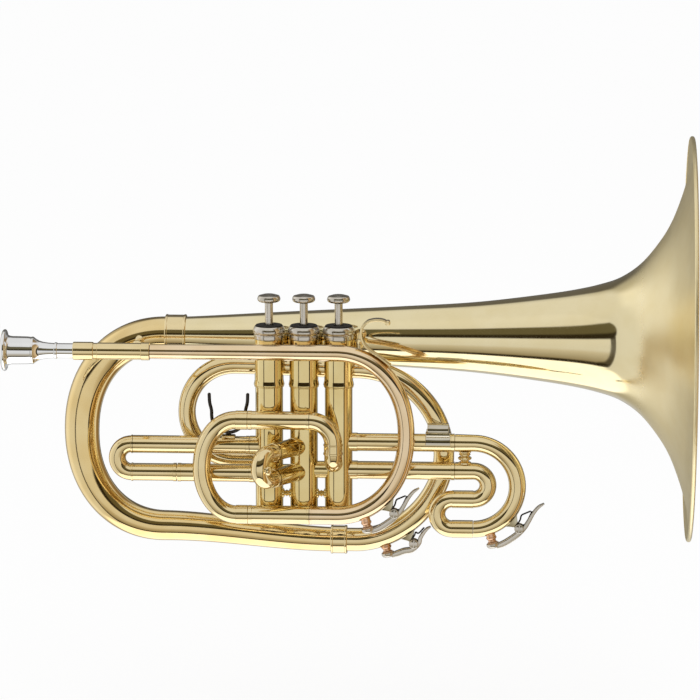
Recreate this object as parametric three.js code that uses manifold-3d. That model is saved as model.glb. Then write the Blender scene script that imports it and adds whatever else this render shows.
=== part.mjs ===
// Marching mellophone in F: three piston valves, four slides, one wrapped main tube and a bell.
// Millimetres. +X points out of the bell, +Y away from the side that is looked at, +Z up.
// The origin lies on the second valve's axis, where a hand holds the valve block.
import * as THREE from 'three';
import { mergeVertices } from 'three/addons/utils/BufferGeometryUtils.js';
import Module from 'manifold-3d';

const wasm = await Module();
wasm.setup();

// Clearances and common stock
const seatGap = 0.3;
const slideClearance = 0.3;
const tubeWall = 0.6;
const cutOverrun = 2;
const ferruleClearance = 0.6;
const thinWall = 1;

// Valve casings
const valvePitch = 23.2;
const casingRadius = 9.2;
const casingUpperRadius = 9.6;
const casingBandRadius = 9.95;
const casingBore = 8.55;
const casingTop = 58.6;
const casingBottom = -61;
const casingSeam = 26.2;
const casingBandHeight = 2.4;
const portBore = 4.6;

// Valve caps, felts, buttons
const capSkirtRadius = 9.8;
const capWidestRadius = 10.7;
const capHeight = 8.7;
const capWaistHeight = 2.6;
const capBulgeHeight = 3.6;
const capRecessDepth = 1.2;
const capPlugDepth = 4.4;
const feltRadius = 9;
const feltThickness = 1.3;
const stemRadius = 2.7;
const stemHoleClearance = 0.5;
const buttonRadius = 7.5;
const buttonThickness = 5.3;
const buttonEdge = 1.4;
const buttonUnderside = 83.1;
const buttonDish = 0.8;
const bottomCapPlug = 2.4;
const bottomCapFloor = 1.8;
const bottomCapDepth = 4.7;
const bottomCapChamfer = 0.9;
const ventRadius = 2.2;

// Pistons and their springs
const pistonClearance = 0.3;
const pistonWall = 0.8;
const pistonCrown = 2.4;
const pistonBottom = -38;
const pistonStroke = 14;
const passageRadius = 4.9;
const passageBore = 4.2;
const springRadius = 5.6;
const springWire = 0.7;
const springCurls = 3;

// Levels of the tubes that enter the valves
const firstSlideUpperLevel = -14.1;
const secondSlideUpperLevel = -13.2;
const thirdSlideUpperLevel = -11.2;
const slidePitch = 19;
const secondSlidePitch = 17.5;
const firstCrossoverLevel = -32.6;
const secondCrossoverLevel = -30.2;
const branchPortLevel = -27.4;
const entryLevel = -24;

// Tube sizes
const legRadius = 6;
const crookRadius = 5.7;
const crossoverRadius = 5.8;
const knuckleRadius = 6.3;
const knuckleLength = 3.2;

// Mouthpiece, along its own axis from the rim face
const leadpipeLevel = 51.9;
const rimRadius = 14;
const rimThickness = 3.2;
const rimRound = 0.8;
const rimInnerRadius = 9.6;
const cupRadius = 9.4;
const cupBore = 8.6;
const cupLength = 22.4;
const cupDepth = 19;
const cupTaper = 7.4;
const throatBore = 2;
const throatLength = 9;
const neckRadius = 5.6;
const shankRadius = 4.9;
const shankTipRadius = 4.5;
const shankTipBore = 3.5;
const shankRing = 5.5;
const shankRingAt = 35.2;
const shankRingWidth = 1.6;
const shankInside = 14.4;
const mouthpieceLength = 61.8;

// Receiver and leadpipe
const receiverMouth = -152.4;
const receiverCollarRadius = 6;
const receiverCollarLength = 13.5;
const receiverGroove = 2.6;
const receiverGrooveRadius = 5.35;
const receiverRadius = 5.6;
const receiverRingLength = 5.5;
const receiverRingRadius = 5.95;
const leadpipeStart = -101.1;
const leadpipeRadius = 4.85;
const leadpipeBore = 4.1;
const leadpipeBendRadius = 5.6;
const leadpipeEndRadius = 6.1;
const leadpipeBendStart = 21.8;
const leadpipeReach = 47.1;
const leadpipeFullness = 2.12;

// Tuning slide and the elbow into the third valve
const lowerRunLevel = -58.1;
const tuningUpperLevel = 6.1;
const tuningOuterLength = 40.7;
const tuningOuterRadius = 6.15;
const tuningSleeveRadius = 6.35;
const tuningSleeveLength = 7.9;
const tuningCrookReach = 22.9;
const tuningLegShortfall = 5;
const elbowBend = 15.7;
const elbowInset = 2.8;
const elbowFerruleRadius = 6.6;
const elbowTurnBend = 7.4;

// First slide
const firstSlideSeam = -36.6;
const firstSlideCrookAt = -114.9;
const firstSlideLowerSeam = -85.1;
const firstSlideShortfall = 4;
const saddleWire = 1.15;
const saddleRadius = 11.3;
const saddleAt = -50.5;
const saddleArm = 14.5;
const saddleFlare = 1.6;
const saddlePadLength = 9;
const saddlePadThickness = 1.2;

// Second slide
const secondSlideAngle = THREE.MathUtils.degToRad(34);
const secondSlideOuterLength = 19.5;
const secondSlideSleeveLength = 7;
const secondSlideLegLength = 14;
const pullKnobRadius = 2.6;
const pullKnobReach = 3.4;

// Third slide
const thirdSlideSeam = 101;
const thirdSlideBowAt = 113.4;
const thirdSlideInnerBend = 9.65;
const thirdSlideOuterBend = 29.35;
const thirdSlideTurnAt = 99.2;
const thirdSlideLegLength = 58;
const bowTubeRadius = 5.7;
const postRadius = 1.7;
const postBallRadius = 3.4;
const postFootRadius = 3.6;
const postAt = 107.5;

// Branch tube behind the valves
const branchBend = 32.6;
const branchStartRadius = 5.8;
const branchTopRadius = 6.4;
const branchShoulderRadius = 6.9;
const branchEndRadius = 7.9;
const branchArchAt = -47.2;
const branchShoulderAt = 34.3;
const branchTopDrop = 2.2;
const branchReach = 58.8;
const branchFoot = -81.8;
const branchFootAt = 22.6;
const branchKnuckleBend = 7.6;
const branchLowerFullness = 1.88;

// Large left-hand bow and the bell
const bowStartRadius = 8.1;
const bowMidRadius = 10.2;
const bowSideRadius = 11.7;
const bowEndRadius = 12.1;
const bowLevel = -75.2;
const bowTailLength = 6.7;
const bowReach = 57;
const bowFullness = 2.14;
const bowLowerOffset = 24;
const ferruleWall = 0.9;
const ferruleLength = 11;
const bellLevel = 54.5;
const bellOffset = 34;
const bellTailAt = -88.4;
const bellRim = 258.8;
const bellRadius = 136;
const bellWall = 0.8;
const bellBead = 1.5;
const bellFerruleLength = 14;

// Braces, hook and bracket
const strutRadius = 1.9;
const strutBallRadius = 3.6;
const bellBraceClearance = 0.2;
const bellBraceFrontLevel = 48.5;
const bellBraceBackLevel = 64;
const bellBraceBallShare = 0.42;
const midShare = 0.5;
const receiverBraceAt = -112;
const valveBraceLevel = -46.5;
const valveBraceRadius = 1.7;
const valveBraceFlange = 3.1;
const hookWidth = 7;
const hookThickness = 1.7;
const hookFootShare = 0.777;
const hookFootLevel = 44.2;
const hookReach = 19.4;
const hookHeight = 30.4;
const bracketWall = 1.1;
const bracketLength = 16.6;
const bracketAt = 89.6;
const bracketHeight = 9.4;
const bracketHumpRadius = 5;

// Finger hook from its foot on the bend: along shares of its reach and up shares of its height
const hookShares = [
  [0, 0],
  [-0.36, 0.18],
  [-0.7, 0.33],
  [-0.92, 0.49],
  [-1, 0.66],
  [-0.97, 0.82],
  [-0.8, 0.95],
  [-0.53, 1],
  [-0.26, 0.99],
  [-0.09, 0.94],
];

// Water keys
const leadpipeKeyShare = 0.46285;
const leadpipeKeyLevel = -67.4;
const branchKeyShare = 0.36224;
const branchKeyLevel = -91.4;
const bowKeyAt = 126.7;
const bowKeyLevel = -80.4;
const leadpipeKeyAngle = THREE.MathUtils.degToRad(40);
const branchKeyAngle = THREE.MathUtils.degToRad(34);
const bowKeyAngle = THREE.MathUtils.degToRad(46);
const nippleRadius = 3;
const nippleBore = 1.3;
const nippleReach = 12;
const cupPadRadius = 4.2;
const cupPadHeight = 3.6;
const leverWidth = 4.6;
const leverThickness = 2.6;
const leverArmAcross = 17.4;
const leverArmRise = 11.4;
const branchArmRise = 7.4;
const leverTouchAcross = 16.6;
const leverTouchRise = 17;
const leverTouchShares = [[0.24, 0.05], [0.52, 0.6], [0.8, 0.92], [1, 1]];
const branchTouchShare = 0.68;
const hingeRadius = 1.7;
const hingePin = 0.75;
const hingeClearance = 0.25;
const earThickness = 0.9;
const earRadius = 3;
const bracketReach = 14;
const bracketSpread = THREE.MathUtils.degToRad(42);
const bracketPlate = 2.4;

// Face counts
const tubeSides = 12;
const smallTubeSides = 10;
const valveSides = 12;
const bellSides = 24;
const rodSides = 8;
const bendSteps = 5;
const smallBendSteps = 4;
const stripSteps = 14;
const keyStripSteps = 9;

// Places worked out from the sizes above
const frontLayer = -(casingRadius + seatGap + tuningOuterRadius);
const branchLayer = casingUpperRadius + seatGap + branchTopRadius;
const legBore = legRadius - tubeWall;
const slideLegRadius = legBore - slideClearance;
const slideLegBore = slideLegRadius - tubeWall;
const mouthpieceTip = receiverMouth + shankInside;
const rimFace = mouthpieceTip - mouthpieceLength;
const tuningLegRadius = tuningOuterRadius - tubeWall - slideClearance;
const tuningLegBore = tuningLegRadius - tubeWall;
const pistonRadius = casingBore - pistonClearance;
const capBottom = casingTop + seatGap;
const capTop = capBottom + capHeight;
const pistonTop = capBottom - capPlugDepth - seatGap;
const bottomCapBase = casingBottom - bottomCapDepth;
const tuningJoint = valvePitch - elbowInset - elbowBend - seatGap;
const bowBendStart = bellTailAt - seatGap - bowTailLength;
const hookFootAt = leadpipeBendStart + leadpipeReach * hookFootShare;
const leadpipeKeyAt = leadpipeBendStart + leadpipeReach * leadpipeKeyShare;
const branchKeyAt = branchShoulderAt + branchReach * branchKeyShare;
const bellBraceAt = valvePitch + casingUpperRadius + bellBraceClearance + strutBallRadius;

const X = new THREE.Vector3(1, 0, 0);
const Y = new THREE.Vector3(0, 1, 0);
const Z = new THREE.Vector3(0, 0, 1);
const at = (x, y, z) => new THREE.Vector3(x, y, z);
const back = direction => direction.clone().negate();

// Centre of each water key's cup, numbered along the tube from the mouthpiece
const keyCups = {
  1: at(leadpipeKeyAt, frontLayer, leadpipeKeyLevel),
  2: at(branchKeyAt, branchLayer, branchKeyLevel),
  3: at(bowKeyAt, 0, bowKeyLevel),
};

// Finishes
const finish = (color, roughness, metalness) =>
  new THREE.MeshStandardMaterial({ color, roughness, metalness });
const brass = finish(0xd9bd77, 0.16, 1);
const roseBrass = finish(0xdba981, 0.16, 1);
const nickel = finish(0xb9b3a6, 0.22, 1);
const silver = finish(0xdadada, 0.1, 1);
const darkSteel = finish(0x2c2b29, 0.35, 1);
const steel = finish(0x9a9a98, 0.3, 1);
const felt = finish(0x17130f, 0.95, 0);

const part = new THREE.Group();

// Puts one named piece into the model
function place(name, geometry, material) {
  const mesh = new THREE.Mesh(geometry, material);
  mesh.name = name;
  part.add(mesh);
}

// Closed mesh as a solid that can be joined and cut
function solidOf(geometry) {
  const bare = geometry.clone();
  bare.deleteAttribute('normal');
  bare.deleteAttribute('uv');
  const merged = mergeVertices(bare);
  return new wasm.Manifold(new wasm.Mesh({
    numProp: 3,
    vertProperties: Float32Array.from(merged.attributes.position.array),
    triVerts: Uint32Array.from(merged.index.array),
  }));
}

function geometryOf(solid) {
  const mesh = solid.getMesh();
  const geometry = new THREE.BufferGeometry();
  geometry.setAttribute('position', new THREE.Float32BufferAttribute(mesh.vertProperties, 3));
  geometry.setIndex(Array.from(mesh.triVerts));
  return geometry;
}

function cut(geometry, ...tools) {
  let solid = solidOf(geometry);
  for (const tool of tools) {
    solid = solid.subtract(solidOf(tool));
  }
  return geometryOf(solid);
}

function join(geometry, ...others) {
  let solid = solidOf(geometry);
  for (const other of others) {
    solid = solid.add(solidOf(other));
  }
  return geometryOf(solid);
}

// Revolved piece: profile points are [distance along the axis, radius]
function turned(profile, sides, axis, origin) {
  const outline = profile.map(([along, radius]) => new THREE.Vector2(radius, along));
  const geometry = new THREE.LatheGeometry(outline, sides);
  geometry.applyQuaternion(new THREE.Quaternion().setFromUnitVectors(Y, axis));
  geometry.translate(origin.x, origin.y, origin.z);
  return geometry;
}

const rod = (radius, from, to, sides, axis, origin) =>
  turned([[from, 0], [from, radius], [to, radius], [to, 0]], sides, axis, origin);

const pipe = (radius, bore, from, to, sides, axis, origin) =>
  turned([[from, bore], [from, radius], [to, radius], [to, bore], [from, bore]], sides, axis, origin);

// A tube drawn by walking along it: straight runs and quarter bends, with its radius and bore
class Route {
  constructor(start, heading, radius, bore) {
    this.point = start.clone();
    this.heading = heading.clone().normalize();
    const guide = Math.abs(this.heading.y) < Math.SQRT1_2 ? Y : X;
    this.across = new THREE.Vector3().crossVectors(guide, this.heading).normalize();
    this.radius = radius;
    this.bore = bore;
    this.outerRings = [];
    this.boreRings = [];
    this.mark(true);
  }

  ring(radius) {
    const up = new THREE.Vector3().crossVectors(this.heading, this.across);
    return { centre: this.point.clone(), across: this.across.clone(), up, radius };
  }

  mark(withBore) {
    this.outerRings.push(this.ring(this.radius));
    if (withBore) {
      this.boreRings.push(this.ring(this.bore));
    }
  }

  turnTo(heading) {
    this.heading.copy(heading).normalize();
    this.across.addScaledVector(this.heading, -this.across.dot(this.heading)).normalize();
  }

  straight(length, radius = this.radius, bore = this.bore) {
    this.point.addScaledVector(this.heading, length);
    this.radius = radius;
    this.bore = bore;
    this.mark(true);
    return this;
  }

  // Steps the outside or the bore to another radius without moving on
  collar(radius) {
    this.radius = radius;
    this.outerRings.push(this.ring(radius));
    return this;
  }

  counterbore(bore) {
    this.bore = bore;
    this.boreRings.push(this.ring(bore));
    return this;
  }

  // A quarter of an oval: ahead along the heading and aside, ending square to where it began.
  // A thick wall needs only every second ring along its bore.
  quarter(toward, ahead, aside, steps, radius = this.radius, bore = this.bore, fullness = 2) {
    const start = this.point.clone();
    const from = this.heading.clone();
    const side = toward.clone().normalize();
    const radiusFrom = this.radius;
    const boreFrom = this.bore;
    for (let step = 1; step <= steps; step += 1) {
      const angle = Math.PI / 2 * step / steps;
      const forward = ahead * Math.sin(angle) ** (2 / fullness);
      const sideways = aside * (1 - Math.max(Math.cos(angle), 0) ** (2 / fullness));
      this.point.copy(start).addScaledVector(from, forward).addScaledVector(side, sideways);
      const heading = side.clone();
      if (step < steps) {
        heading.multiplyScalar(aside * Math.sin(angle) ** (2 - 2 / fullness));
        heading.addScaledVector(from, ahead * Math.cos(angle) ** (2 - 2 / fullness));
      }
      this.turnTo(heading);
      this.radius = THREE.MathUtils.lerp(radiusFrom, radius, step / steps);
      this.bore = THREE.MathUtils.lerp(boreFrom, bore, step / steps);
      this.mark(this.radius - this.bore < thinWall || step % 2 === 0 || step === steps);
    }
    return this;
  }

  // A run that eases sideways and ends parallel to its start
  drift(length, shift, steps, radius = this.radius, bore = this.bore) {
    const start = this.point.clone();
    const from = this.heading.clone();
    const radiusFrom = this.radius;
    const boreFrom = this.bore;
    for (let step = 1; step <= steps; step += 1) {
      const share = step / steps;
      const eased = share * share * (3 - 2 * share);
      const slope = 6 * share * (1 - share) / length;
      this.point.copy(start).addScaledVector(from, length * share).addScaledVector(shift, eased);
      this.turnTo(from.clone().addScaledVector(shift, slope));
      this.radius = THREE.MathUtils.lerp(radiusFrom, radius, share);
      this.bore = THREE.MathUtils.lerp(boreFrom, bore, share);
      this.mark(true);
    }
    return this;
  }

  // Skin over the outside, round the far end, back along the bore and round the near end
  tube(sides) {
    return skin([...this.outerRings, ...this.boreRings.slice().reverse()], sides, true);
  }

  solid(sides) {
    return skin(this.outerRings, sides, false);
  }
}

function skin(rings, sides, closes) {
  const positions = [];
  const faces = [];
  for (const { centre, across, up, radius } of rings) {
    for (let side = 0; side < sides; side += 1) {
      const angle = 2 * Math.PI * side / sides;
      const point = centre.clone();
      point.addScaledVector(across, radius * Math.cos(angle));
      point.addScaledVector(up, radius * Math.sin(angle));
      positions.push(point.x, point.y, point.z);
    }
  }
  const strips = closes ? rings.length : rings.length - 1;
  for (let ring = 0; ring < strips; ring += 1) {
    const next = (ring + 1) % rings.length;
    for (let side = 0; side < sides; side += 1) {
      const beside = (side + 1) % sides;
      const a = ring * sides + side;
      const b = ring * sides + beside;
      const c = next * sides + beside;
      const d = next * sides + side;
      faces.push(a, b, c, a, c, d);
    }
  }
  if (!closes) {
    const first = rings[0].centre;
    const last = rings.at(-1).centre;
    const firstHub = positions.length / 3;
    positions.push(first.x, first.y, first.z, last.x, last.y, last.z);
    const lastRing = (rings.length - 1) * sides;
    for (let side = 0; side < sides; side += 1) {
      const beside = (side + 1) % sides;
      faces.push(firstHub, beside, side);
      faces.push(firstHub + 1, lastRing + side, lastRing + beside);
    }
  }
  const geometry = new THREE.BufferGeometry();
  geometry.setAttribute('position', new THREE.Float32BufferAttribute(positions, 3));
  geometry.setIndex(faces);
  return geometry;
}

// A tube with a short spout under it, bored through, for a water key
function withNipple(route, cup, sides) {
  const foot = cup.z + cupPadHeight / 2 + seatGap;
  const below = at(cup.x, cup.y, foot);
  const inside = skin(route.boreRings, sides, false);
  const spout = cut(rod(nippleRadius, 0, nippleReach, smallTubeSides, Z, below), inside);
  const bore = rod(nippleBore, -cutOverrun, nippleReach, rodSides, Z, below);
  const joined = join(route.tube(sides), spout);
  return cut(joined, bore);
}

// Valves, numbered from the mouthpiece
const valveNumbers = [1, 2, 3];
const valveAt = number => (number - 2) * valvePitch;
const valveAxis = number => at(valveAt(number), 0, 0);

// Solid post as wide as a casing and its gap, to shape tube ends that meet that casing
const casingPost = number => rod(
  casingRadius + seatGap, casingBottom, casingSeam - seatGap, valveSides, Z, valveAxis(number));

// Hole through one side of a casing, where a tube enters it
const port = (number, heading, level) => rod(
  portBore, 0, casingRadius + cutOverrun, rodSides, heading, at(valveAt(number), 0, level));

const secondSlideHeading = at(-Math.sin(secondSlideAngle), -Math.cos(secondSlideAngle), 0);

function portsOf(number) {
  if (number === 1) {
    return [
      port(1, back(X), firstSlideUpperLevel),
      port(1, back(X), firstSlideUpperLevel - slidePitch),
      port(1, X, firstCrossoverLevel),
      port(1, Y, branchPortLevel),
    ];
  }
  if (number === 2) {
    return [
      port(2, secondSlideHeading, secondSlideUpperLevel),
      port(2, secondSlideHeading, secondSlideUpperLevel - secondSlidePitch),
      port(2, back(X), firstCrossoverLevel),
      port(2, X, secondCrossoverLevel),
    ];
  }
  return [
    port(3, X, thirdSlideUpperLevel),
    port(3, X, thirdSlideUpperLevel - slidePitch),
    port(3, back(X), secondCrossoverLevel),
    port(3, back(Y), entryLevel),
  ];
}

function casing(number) {
  const bandTop = casingSeam + casingBandHeight;
  const body = turned([
    [casingBottom, casingBore],
    [casingBottom, casingRadius],
    [casingSeam, casingRadius],
    [casingSeam, casingBandRadius],
    [bandTop, casingBandRadius],
    [bandTop, casingUpperRadius],
    [casingTop, casingUpperRadius],
    [casingTop, casingBore],
    [casingBottom, casingBore],
  ], valveSides, Z, valveAxis(number));
  return cut(body, ...portsOf(number));
}

function topCap(number) {
  const holeRadius = stemRadius + stemHoleClearance;
  const plugRadius = casingBore - seatGap;
  const waist = capBottom + capWaistHeight;
  return turned([
    [capBottom - capPlugDepth, holeRadius],
    [capBottom - capPlugDepth, plugRadius],
    [capBottom, plugRadius],
    [capBottom, capSkirtRadius],
    [waist, capSkirtRadius],
    [waist + seatGap, capWidestRadius],
    [waist + capBulgeHeight, capWidestRadius],
    [capTop, feltRadius + 2 * seatGap],
    [capTop - capRecessDepth, feltRadius + seatGap],
    [capTop - capRecessDepth, holeRadius],
    [capBottom - capPlugDepth, holeRadius],
  ], valveSides, Z, valveAxis(number));
}

function feltRing(number) {
  const floor = capTop - capRecessDepth + seatGap;
  const hole = stemRadius + seatGap;
  return pipe(feltRadius, hole, floor, floor + feltThickness, valveSides, Z, valveAxis(number));
}

function button(number) {
  const top = buttonUnderside + buttonThickness;
  return turned([
    [pistonTop + seatGap, 0],
    [pistonTop + seatGap, stemRadius],
    [buttonUnderside, stemRadius],
    [buttonUnderside, buttonRadius - buttonEdge],
    [buttonUnderside + buttonEdge, buttonRadius],
    [top - buttonEdge, buttonRadius],
    [top, buttonRadius - buttonDish],
    [top, buttonRadius - 2 * buttonEdge],
    [top - buttonDish, buttonRadius - 3 * buttonEdge],
    [top - buttonDish, 0],
  ], valveSides, Z, valveAxis(number));
}

function bottomCap(number) {
  const plugRadius = casingBore - seatGap;
  const ledge = casingBottom - seatGap;
  return turned([
    [bottomCapBase, ventRadius],
    [bottomCapBase, casingRadius - bottomCapChamfer],
    [bottomCapBase + bottomCapChamfer, casingRadius],
    [ledge, casingRadius],
    [ledge, plugRadius],
    [casingBottom + bottomCapPlug, plugRadius],
    [casingBottom + bottomCapPlug, plugRadius - pistonWall],
    [bottomCapBase + bottomCapFloor, plugRadius - pistonWall],
    [bottomCapBase + bottomCapFloor, ventRadius],
    [bottomCapBase, ventRadius],
  ], valveSides, Z, valveAxis(number));
}

// Hollow piston with three passages through it: one open at rest, two when it is pressed
function piston(number) {
  const origin = valveAxis(number);
  const levels = {
    1: [firstCrossoverLevel, firstSlideUpperLevel, firstSlideUpperLevel - slidePitch],
    2: [firstCrossoverLevel, secondSlideUpperLevel, secondSlideUpperLevel - secondSlidePitch],
    3: [secondCrossoverLevel, thirdSlideUpperLevel, thirdSlideUpperLevel - slidePitch],
  }[number];
  const slideHeading = number === 2 ? secondSlideHeading : X;
  const passages = [
    { heading: X, level: levels[0] },
    { heading: slideHeading, level: levels[1] + pistonStroke },
    { heading: slideHeading, level: levels[2] + pistonStroke },
  ];
  const reach = casingRadius + cutOverrun;
  const drill = ({ heading, level }, radius) => rod(
    radius, -reach, reach, rodSides, heading, at(origin.x, 0, level));
  const barrel = solidOf(turned([
    [pistonBottom, pistonRadius - pistonWall],
    [pistonBottom, pistonRadius],
    [pistonTop, pistonRadius],
    [pistonTop, 0],
    [pistonTop - pistonCrown, 0],
    [pistonTop - pistonCrown, pistonRadius - pistonWall],
    [pistonBottom, pistonRadius - pistonWall],
  ], valveSides, Z, origin));
  const inside = solidOf(rod(pistonRadius - seatGap, pistonBottom, pistonTop, valveSides, Z, origin));
  let body = barrel;
  for (const passage of passages) {
    body = body.add(solidOf(drill(passage, passageRadius)).intersect(inside));
  }
  for (const passage of passages) {
    body = body.subtract(solidOf(drill(passage, passageBore)));
  }
  return geometryOf(body);
}

// Compression spring between the bottom cap and the piston
function pistonSpring(number) {
  const floor = bottomCapBase + bottomCapFloor + springWire + seatGap;
  const ceiling = pistonBottom - springWire - seatGap;
  const steps = rodSides * springCurls;
  const rise = (ceiling - floor) / (2 * Math.PI * springCurls);
  const rings = [];
  for (let step = 0; step <= steps; step += 1) {
    const angle = 2 * Math.PI * springCurls * step / steps;
    const outward = at(Math.cos(angle), Math.sin(angle), 0);
    const along = at(-Math.sin(angle) * springRadius, Math.cos(angle) * springRadius, rise).normalize();
    const centre = valveAxis(number).addScaledVector(outward, springRadius);
    centre.z = THREE.MathUtils.lerp(floor, ceiling, step / steps);
    const up = new THREE.Vector3().crossVectors(along, outward);
    rings.push({ centre, across: outward, up, radius: springWire });
  }
  return skin(rings, 5, false);
}

for (const number of valveNumbers) {
  place(`valve_casing_${number}`, casing(number), brass);
  place(`top_cap_${number}`, topCap(number), nickel);
  place(`cap_felt_${number}`, feltRing(number), felt);
  place(`finger_button_${number}`, button(number), nickel);
  place(`bottom_cap_${number}`, bottomCap(number), nickel);
  place(`piston_${number}`, piston(number), nickel);
  place(`piston_spring_${number}`, pistonSpring(number), steel);
}

// Short tube between two neighbouring casings
function crossover(number, level) {
  const origin = at(valveAt(number), 0, level);
  const tube = pipe(crossoverRadius, portBore, 0, valvePitch, smallTubeSides, X, origin);
  return cut(tube, casingPost(number), casingPost(number + 1), secondSlideRoom());
}

// Room that the lower tube of the second slide takes beside the crossovers
function secondSlideRoom() {
  const lower = at(0, 0, secondSlideUpperLevel - secondSlidePitch);
  return rod(
    knuckleRadius + seatGap, 0, casingRadius + knuckleLength, smallTubeSides, secondSlideHeading, lower);
}

place('crossover_1_2', crossover(1, firstCrossoverLevel), brass);
place('crossover_2_3', crossover(2, secondCrossoverLevel), brass);

// Mouthpiece: rim, cup, throat and shank, bored through
function mouthpiece() {
  const rimBack = rimFace + rimThickness;
  const cupEnd = rimFace + cupLength;
  const ringAt = rimFace + shankRingAt;
  return turned([
    [rimFace, rimInnerRadius + rimRound],
    [rimFace, rimRadius - rimRound],
    [rimFace + rimRound, rimRadius],
    [rimBack - rimRound, rimRadius],
    [rimBack, cupRadius],
    [cupEnd, cupRadius],
    [cupEnd + cupTaper, neckRadius],
    [ringAt, shankRadius],
    [ringAt, shankRing],
    [ringAt + shankRingWidth, shankRing],
    [ringAt + shankRingWidth, shankRadius],
    [receiverMouth, shankRadius],
    [mouthpieceTip, shankTipRadius],
    [mouthpieceTip, shankTipBore],
    [rimFace + cupDepth + throatLength, throatBore],
    [rimFace + cupDepth, throatBore],
    [rimFace + cupDepth - cupTaper, cupBore - 2 * rimRound],
    [rimBack, cupBore],
    [rimFace, rimInnerRadius + rimRound],
  ], valveSides, X, at(0, frontLayer, leadpipeLevel));
}

function receiver() {
  const collarEnd = receiverMouth + receiverCollarLength;
  const grooveEnd = collarEnd + receiverGroove;
  const end = leadpipeStart - seatGap;
  const ringAt = end - receiverRingLength;
  const mouthBore = shankRadius + seatGap;
  const tip = mouthpieceTip + seatGap;
  return turned([
    [receiverMouth, mouthBore],
    [receiverMouth, receiverCollarRadius],
    [collarEnd, receiverCollarRadius],
    [collarEnd, receiverGrooveRadius],
    [grooveEnd, receiverGrooveRadius],
    [grooveEnd, receiverRadius],
    [ringAt, receiverRadius],
    [ringAt, receiverRingRadius],
    [end, receiverRingRadius],
    [end, leadpipeBore],
    [tip, leadpipeBore],
    [tip, shankTipRadius + seatGap],
    [receiverMouth, mouthBore],
  ], smallTubeSides, X, at(0, frontLayer, leadpipeLevel));
}

place('mouthpiece', mouthpiece(), silver);
place('mouthpiece_receiver', receiver(), brass);

// Leadpipe: straight run, then one large bend down and back
function leadpipeRoute(grow) {
  const drop = (leadpipeLevel - lowerRunLevel) / 2;
  const start = at(leadpipeStart, frontLayer, leadpipeLevel);
  const bendRadius = leadpipeBendRadius + grow;
  const route = new Route(start, X, leadpipeRadius + grow, leadpipeBore);
  route.straight(leadpipeBendStart - leadpipeStart, bendRadius, leadpipeBendRadius - tubeWall);
  route.quarter(back(Z), leadpipeReach, drop, bendSteps, bendRadius, route.bore, leadpipeFullness);
  route.quarter(
    back(X), drop, leadpipeReach, bendSteps, leadpipeEndRadius + grow, legBore, leadpipeFullness);
  return route.straight(leadpipeBendStart - tuningJoint - seatGap);
}

const leadpipe = () => withNipple(leadpipeRoute(0), keyCups[1], tubeSides);

function tuningOuter(level) {
  const origin = at(tuningJoint, frontLayer, level);
  const bore = tuningOuterRadius - tubeWall;
  return pipe(tuningOuterRadius, bore, 0, tuningOuterLength, tubeSides, back(X), origin);
}

function tuningCrook() {
  const joint = tuningJoint - tuningOuterLength;
  const half = (tuningUpperLevel - lowerRunLevel) / 2;
  const legLength = tuningOuterLength - tuningLegShortfall;
  const route = new Route(
    at(joint + legLength, frontLayer, tuningUpperLevel), back(X), tuningLegRadius, tuningLegBore);
  route.straight(legLength + seatGap);
  route.collar(tuningSleeveRadius).straight(tuningSleeveLength);
  route.collar(legRadius);
  route.quarter(back(Z), tuningCrookReach, half, bendSteps);
  route.quarter(X, half, tuningCrookReach, bendSteps);
  route.collar(tuningSleeveRadius).straight(tuningSleeveLength);
  route.collar(tuningLegRadius).straight(legLength + seatGap);
  return route.tube(tubeSides);
}

// Elbow from the tuning slide down and into the front of the third valve
function entryElbow() {
  const start = at(tuningJoint + seatGap, frontLayer, tuningUpperLevel);
  const bore = legBore - slideClearance;
  const route = new Route(start, X, legRadius, bore);
  const down = tuningUpperLevel - elbowBend - entryLevel - elbowTurnBend;
  route.quarter(back(Z), elbowBend, elbowBend, smallBendSteps);
  route.collar(elbowFerruleRadius).straight(down, elbowFerruleRadius).collar(legRadius);
  route.quarter(Y, elbowTurnBend, elbowTurnBend, smallBendSteps);
  route.straight(-frontLayer - elbowTurnBend);
  return cut(route.tube(tubeSides), casingPost(3));
}

place('leadpipe', leadpipe(), roseBrass);
place('tuning_outer_upper', tuningOuter(tuningUpperLevel), brass);
place('tuning_outer_lower', tuningOuter(lowerRunLevel), brass);
place('tuning_slide_crook', tuningCrook(), brass);
place('entry_elbow', entryElbow(), brass);

// First slide: the upper sleeve runs over a fixed inner tube, the lower leg in a fixed outer one
function firstSlideInner() {
  const route = new Route(at(valveAt(1), 0, firstSlideUpperLevel), back(X), legRadius, slideLegBore);
  route.straight(valveAt(1) - firstSlideSeam - seatGap);
  route.collar(slideLegRadius).straight(firstSlideSeam - firstSlideCrookAt - firstSlideShortfall);
  return cut(route.tube(smallTubeSides), casingPost(1));
}

function firstSlideOuter() {
  const route = new Route(
    at(valveAt(1), 0, firstSlideUpperLevel - slidePitch), back(X), knuckleRadius, legBore);
  route.straight(valveAt(1) - firstSlideSeam).collar(legRadius);
  route.straight(firstSlideSeam - firstSlideLowerSeam - seatGap);
  return cut(route.tube(smallTubeSides), casingPost(1));
}

function firstSlideSleeve() {
  const origin = at(firstSlideSeam, 0, firstSlideUpperLevel);
  const length = firstSlideSeam - firstSlideCrookAt - seatGap;
  return pipe(legRadius, legBore, 0, length, smallTubeSides, back(X), origin);
}

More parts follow.
